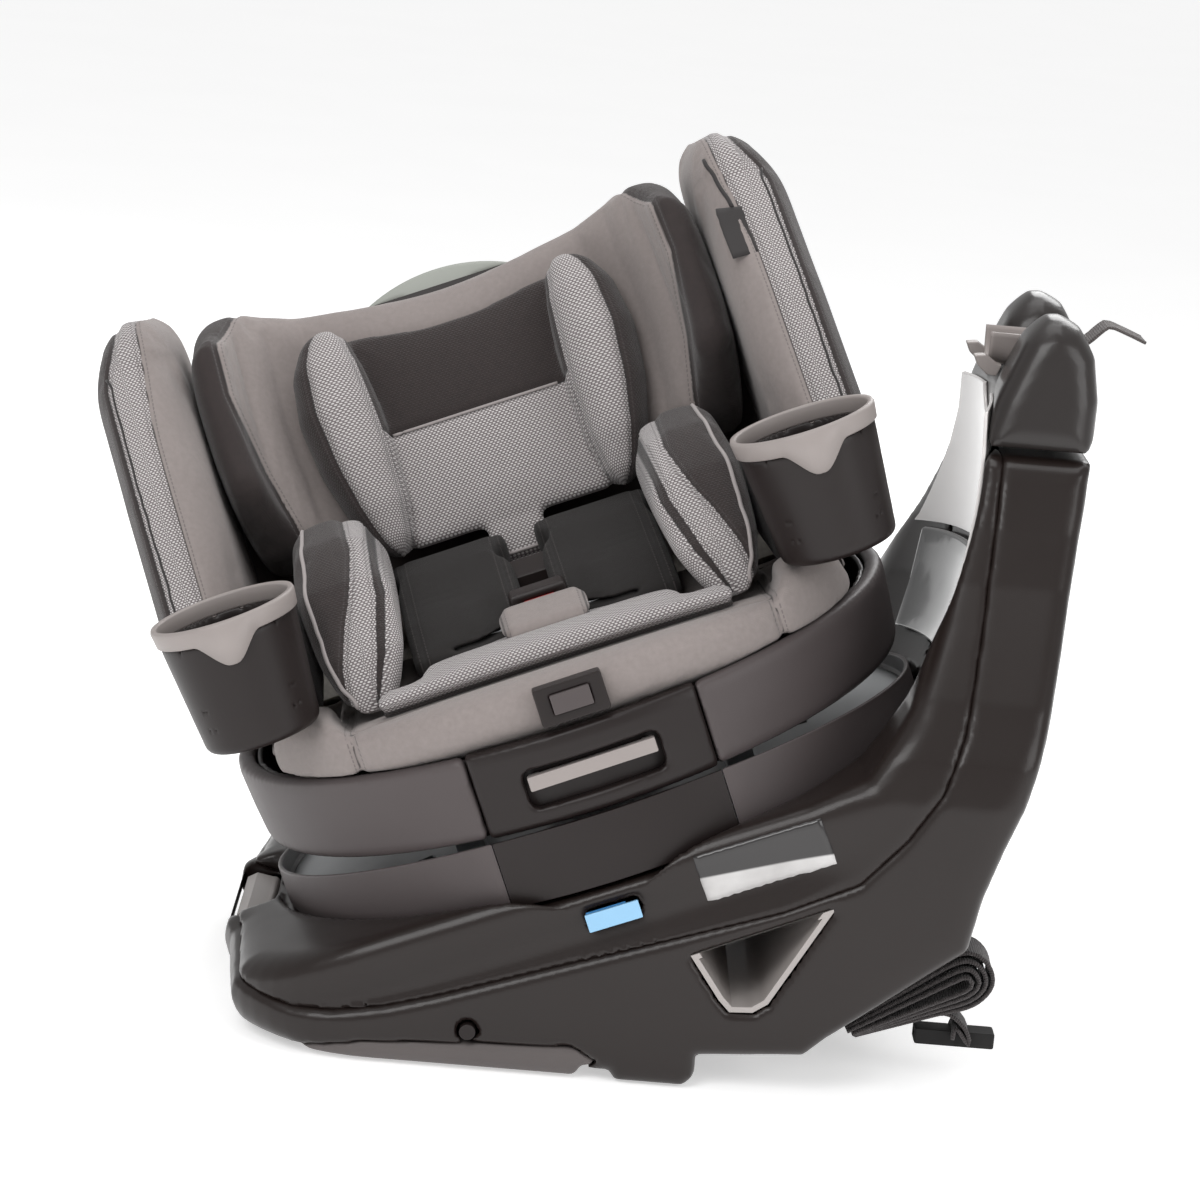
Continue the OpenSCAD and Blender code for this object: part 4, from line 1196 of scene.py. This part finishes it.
def laid_on(pad, points, lift):
    """Points of the pad's frame, moved onto the pad's surface and lifted off it."""
    place = pad.place
    tree = BVHTree.FromObject(pad.obj, bpy.context.evaluated_depsgraph_get())
    made = []
    for point in to_metres(points, place):
        spot, normal, _, _ = tree.find_nearest(Vector(point))
        made.append(spot / MM + normal * lift)
    return np.array([place.inverted() @ p for p in made])


def piping(name, pad, points, radius, material, both=False, lift=0.4):
    """Sewn cord along a seam of a pad, on both sides of the seat if asked."""
    path = laid_on(pad, smooth_path(points, 4), lift)
    tube = sweep(smooth_path(path[::2], 3), round_section(radius), (1, 0.13, 0.07))
    parts = [tube]
    if both:
        parts.append((tube[0] * (-1, 1, 1), [face[::-1] for face in tube[1]]))
    cord, faces = joined(parts)
    obj = new_object(name, cord, faces, pad.place, material)
    return settle(obj, pad.body, "fabric_grey")


def sewn_details(pads):
    light = "trim_cord"
    dark = "black_cord"
    edge = [(-150, 150), (-136, 190), (-100, 232), (-58, 254), (-10, 259), (20, 250)]
    rim = [(follow(z, INSERT_OUT) - 5, y, z) for y, z in edge]
    piping("insert_piping", pads["insert_right_pad"], rim, 1.5, light, both=True)
    strip = [(WING_SEAMS[1] + 0.5, y, z) for y, z in WING_FRONT[:4]]
    piping("wing_piping", pads["wing_right_pad"], strip, 1.0, dark, both=True, lift=0.0)
    pillow = pads["head_pillow_pad"]
    line = [(x, -58, PILLOW_PANEL_Z) for x in range(-66, 67, 12)]
    piping("pillow_panel_piping", pillow, line, 1.2, light)
    hem = [(x, -58, FLAP_END + 3) for x in range(-18, 19, 6)]
    piping("pillow_hem_piping", pillow, hem, 1.3, light)
    top = [(x, -16, headrest_top(x) - 1) for x in range(-160, 161, 16)]
    piping("headrest_piping", pads["headrest_pad"], top, 1.4, dark)


# ---------- straps ----------
STRAP_LINE = [(-62, 158), (-44, 160), (0, 170), (40, 179), (96, 180), (119, 171), (147, 157)]
STRAP_X = 49


def straps():
    """The two shoulder straps, and the tether over the column's cap."""
    paths = [[(side * STRAP_X, y, z) for y, z in STRAP_LINE] for side in (-1, 1)]
    webbing("harness_webbing", paths, 38, 1.6, SEAT, (1, 0, 0), "webbing", "seat", "webbing",
            "harness_straps")
    tether = [(282, 479.2), (300, 490), (316, 502), (324, 510), (330, 514), (343, 510), (356, 505)]
    tether = [(x, 0, z) for x, z in tether]
    webbing("tether_webbing", [tether], 34, 1.8, BASE, (0, 1, 0), "tether_webbing", "base", "webbing",
            "tether_strap")


BUNDLE_START = np.array((172.0, 44.0))
BUNDLE_END = np.array((240.0, 97.0))
BUNDLE_LAYERS = (5.0, 10.0, 15.0, 20.0)
CONNECTOR_X, CONNECTOR_Z = 252, 33


def anchor_bundle():
    """Lower anchor webbing, folded into a wedge of loops under the rear of the base, and its tails."""
    along = (BUNDLE_END - BUNDLE_START) / np.linalg.norm(BUNDLE_END - BUNDLE_START)
    out = np.array((along[1], -along[0]))
    length = np.linalg.norm(BUNDLE_END - BUNDLE_START)

    def place(t, across, y):
        """A point t along the fold; the fold opens from a third of its width to all of it."""
        opening = 0.3 + 0.7 * min(t, 1)
        spot = BUNDLE_START + along * length * t + out * (4 + BUNDLE_LAYERS[-1] * opening + across * opening)
        return (spot[0], y, spot[1])

    folds = []
    tails = []
    for side in (-1, 1):
        for layer, half in enumerate(BUNDLE_LAYERS):
            y = side * (186 - 3 * layer)
            lower = [place(t, half, y) for t in (0.02, 0.35, 0.65, 0.95)]
            turn = [place(1 + half * math.cos(a) / length, half * math.sin(a), y) for a in (0.8, 0.0, -0.8)]
            upper = [place(t, -half, y) for t in (0.95, 0.6, 0.25, 0.0)]
            folds.append(lower + turn + upper)
        x, y, z = place(0.5, BUNDLE_LAYERS[-1] + 3, side * 178)
        bend = [(x, z), (x + 20, z + 6), (CONNECTOR_X + 8, z - 4), (CONNECTOR_X + 12, z - 16),
                (CONNECTOR_X + 2, CONNECTOR_Z + 8), (CONNECTOR_X, CONNECTOR_Z)]
        tails.append([(along_x, y, up) for along_x, up in bend])
    webbing("anchor_webbing", folds, 42, 2.4, BASE, (0, 1, 0), "webbing", "base", "webbing",
            "lower_anchor_strap")
    webbing("anchor_webbing_tails", tails, 30, 2.2, BASE, (0, 1, 0), "webbing", "base", "webbing")
    run = [place(0.5, 0, y) for y in (-170, -90, 0, 90, 170)]
    webbing("anchor_webbing_run", [run], 38, 2.2, BASE, (along[0], 0, along[1]), "webbing", "base",
            "webbing")


# ---------- headrest handle, tag and small trim ----------
def headrest_handle():
    """Crescent grip over the headrest's dip."""
    low, high = (-66, -16, HEAD_Z1 - 46), (66, 4, HEAD_Z1 + 12)
    step = 2.0
    x, y, z = grid(low, high, step)
    crescent = np.maximum(np.hypot(x, z - HEAD_Z1 + 128) - 130, HEAD_Z1 - 14 - z)
    stem = rounded(slab(x, -26, 26), slab(z, HEAD_Z1 - 38, HEAD_Z1 - 7), 4)
    field = rounded(smin(crescent, stem, 6), slab(y, -11.5, -1), 3.5)
    moulding("headrest_handle_moulding", field, low, step, BACK, "handle", "headrest_handle", "trim_light",
             "headrest_handle")


def wing_tag(pads):
    """A blank woven tag and a bound slit beside the inner seam of the right wing."""
    wing = pads["wing_right_pad"]
    path = laid_on(wing, smooth_path([(218, 52, 378), (218, 40, 360), (219, 28, 343)], 4), 1.2)
    points, faces = sweep(path, band_section(20, 1.0), (1, 0.2, 0))
    tag = new_object("wing_tag", points, faces, SEAT, "black_cord")
    settle(tag, "seat", "fabric_black")
    slit = [(208, 80, 416), (213, 70, 402), (219, 58, 388), (222, 52, 378)]
    piping("wing_slit_binding", wing, slit, 1.6, "black_cord")


LABEL_X, LABEL_Z = 105, 168
LABEL_L, LABEL_H = 90, 35


def rotation_label():
    """A plain two-tone label laid on the upper shell behind the indicator, with no lettering."""
    shell = bpy.data.objects["base_upper_moulding"]
    tree = BVHTree.FromObject(shell, bpy.context.evaluated_depsgraph_get())
    columns, rows = 24, 10
    points, faces = [], []
    for lift in (0.5, -1.5):
        for i in range(columns + 1):
            for j in range(rows + 1):
                along, up = LABEL_L * (i / columns - 0.5), LABEL_H * (j / rows - 0.5)
                x = LABEL_X + along * math.cos(TILT) - up * math.sin(TILT)
                z = LABEL_Z + along * math.sin(TILT) + up * math.cos(TILT)
                spot, normal, _, _ = tree.find_nearest(Vector((x, -BASE_HALF_W, z)) * MM)
                points.append(spot / MM + normal * lift)
    side = (columns + 1) * (rows + 1)

    def at(layer, i, j):
        return layer * side + i * (rows + 1) + j

    for i in range(columns):
        for j in range(rows):
            faces.append((at(0, i, j), at(0, i + 1, j), at(0, i + 1, j + 1), at(0, i, j + 1)))
            faces.append((at(1, i, j), at(1, i, j + 1), at(1, i + 1, j + 1), at(1, i + 1, j)))
    for i in range(columns):
        faces.append((at(0, i, 0), at(1, i, 0), at(1, i + 1, 0), at(0, i + 1, 0)))
        faces.append((at(0, i, rows), at(0, i + 1, rows), at(1, i + 1, rows), at(1, i, rows)))
    for j in range(rows):
        faces.append((at(0, 0, j), at(0, 0, j + 1), at(1, 0, j + 1), at(1, 0, j)))
        faces.append((at(0, columns, j), at(1, columns, j), at(1, columns, j + 1), at(0, columns, j + 1)))
    label = new_object("rotation_label", np.array(points), faces, BASE, "label")
    settle(label, "base", "panel_silver", "info_label")


base_shells()
front_foot()
column_cap()
seat_bowl()
seat_back_shell()
for cup_side in (-1, 1):
    cup_holder(cup_side)
all_pads = make_pads()
sewn_details(all_pads)
straps()
anchor_bundle()
headrest_handle()
wing_tag(all_pads)
rotation_label()


# ---------- studio ----------
FLOOR_HALF = 25.0
ROOM_LIGHT = 0.5
BACKDROP_LIGHT = 0.9
FLOOR_GLOW = 0.48
CAMERA_ELEVATION = math.radians(12.5)
CAMERA_ROLL = math.radians(5.06)
CAMERA_AZIMUTH = math.radians(-1.12)
CAMERA_DISTANCE = 2.907
CAMERA_TARGET = Vector((-0.0151, 0, 0.2814))

# Name, place in metres, size and power of each area lamp
LAMPS = [("key", (-1.3, -2.2, 2.3), 1.6, 42), ("fill", (2.2, -1.8, 1.4), 1.6, 22),
         ("top", (0, 0.4, 2.8), 2.2, 30), ("rim", (0.8, 2.3, 1.8), 1.4, 26)]


def studio():
    corners = [(-FLOOR_HALF, -FLOOR_HALF, 0), (FLOOR_HALF, -FLOOR_HALF, 0), (FLOOR_HALF, FLOOR_HALF, 0),
               (-FLOOR_HALF, FLOOR_HALF, 0)]
    s = Shader("floor_paper")
    MATERIALS["floor_paper"] = s.finish(s.mix(s.noise(3.0), rgb(238, 238, 238), rgb(244, 244, 244)), 0.9,
                                        Emission_Color=(1, 1, 1, 1), Emission_Strength=FLOOR_GLOW)
    new_object("floor", np.array(corners) / MM, [(0, 1, 2, 3)], BASE, "floor_paper")
    world = bpy.data.worlds.new("studio")
    world.use_nodes = True
    tree = world.node_tree
    seen = tree.nodes.new("ShaderNodeLightPath").outputs["Is Camera Ray"]
    strength = tree.nodes.new("ShaderNodeMapRange")
    strength.inputs[3].default_value, strength.inputs[4].default_value = ROOM_LIGHT, BACKDROP_LIGHT
    tree.links.new(seen, strength.inputs[0])
    tree.links.new(strength.outputs[0], tree.nodes["Background"].inputs[1])
    tree.nodes["Background"].inputs[0].default_value = (1, 1, 1, 1)
    bpy.context.scene.world = world
    for name, place, size, power in LAMPS:
        lamp = bpy.data.lights.new(name, "AREA")
        lamp.size = size
        lamp.energy = power
        obj = bpy.data.objects.new(name, lamp)
        obj.location = place
        obj.rotation_mode = "QUATERNION"
        obj.rotation_quaternion = (CAMERA_TARGET - Vector(place)).to_track_quat("-Z", "Y")
        bpy.context.scene.collection.objects.link(obj)


def camera():
    back = Vector((math.sin(CAMERA_AZIMUTH) * math.cos(CAMERA_ELEVATION),
                   -math.cos(CAMERA_AZIMUTH) * math.cos(CAMERA_ELEVATION), math.sin(CAMERA_ELEVATION)))
    data = bpy.data.cameras.new("camera")
    data.lens = 120
    data.sensor_width = 36
    obj = bpy.data.objects.new("camera", data)
    obj.location = CAMERA_TARGET + back * CAMERA_DISTANCE
    level = (-back).to_track_quat("-Z", "Y")
    obj.rotation_mode = "QUATERNION"
    obj.rotation_quaternion = level @ Matrix.Rotation(CAMERA_ROLL, 3, "Z").to_quaternion()
    bpy.context.scene.collection.objects.link(obj)
    bpy.context.scene.camera = obj


studio()
camera()
bpy.context.scene.view_settings.view_transform = "Standard"
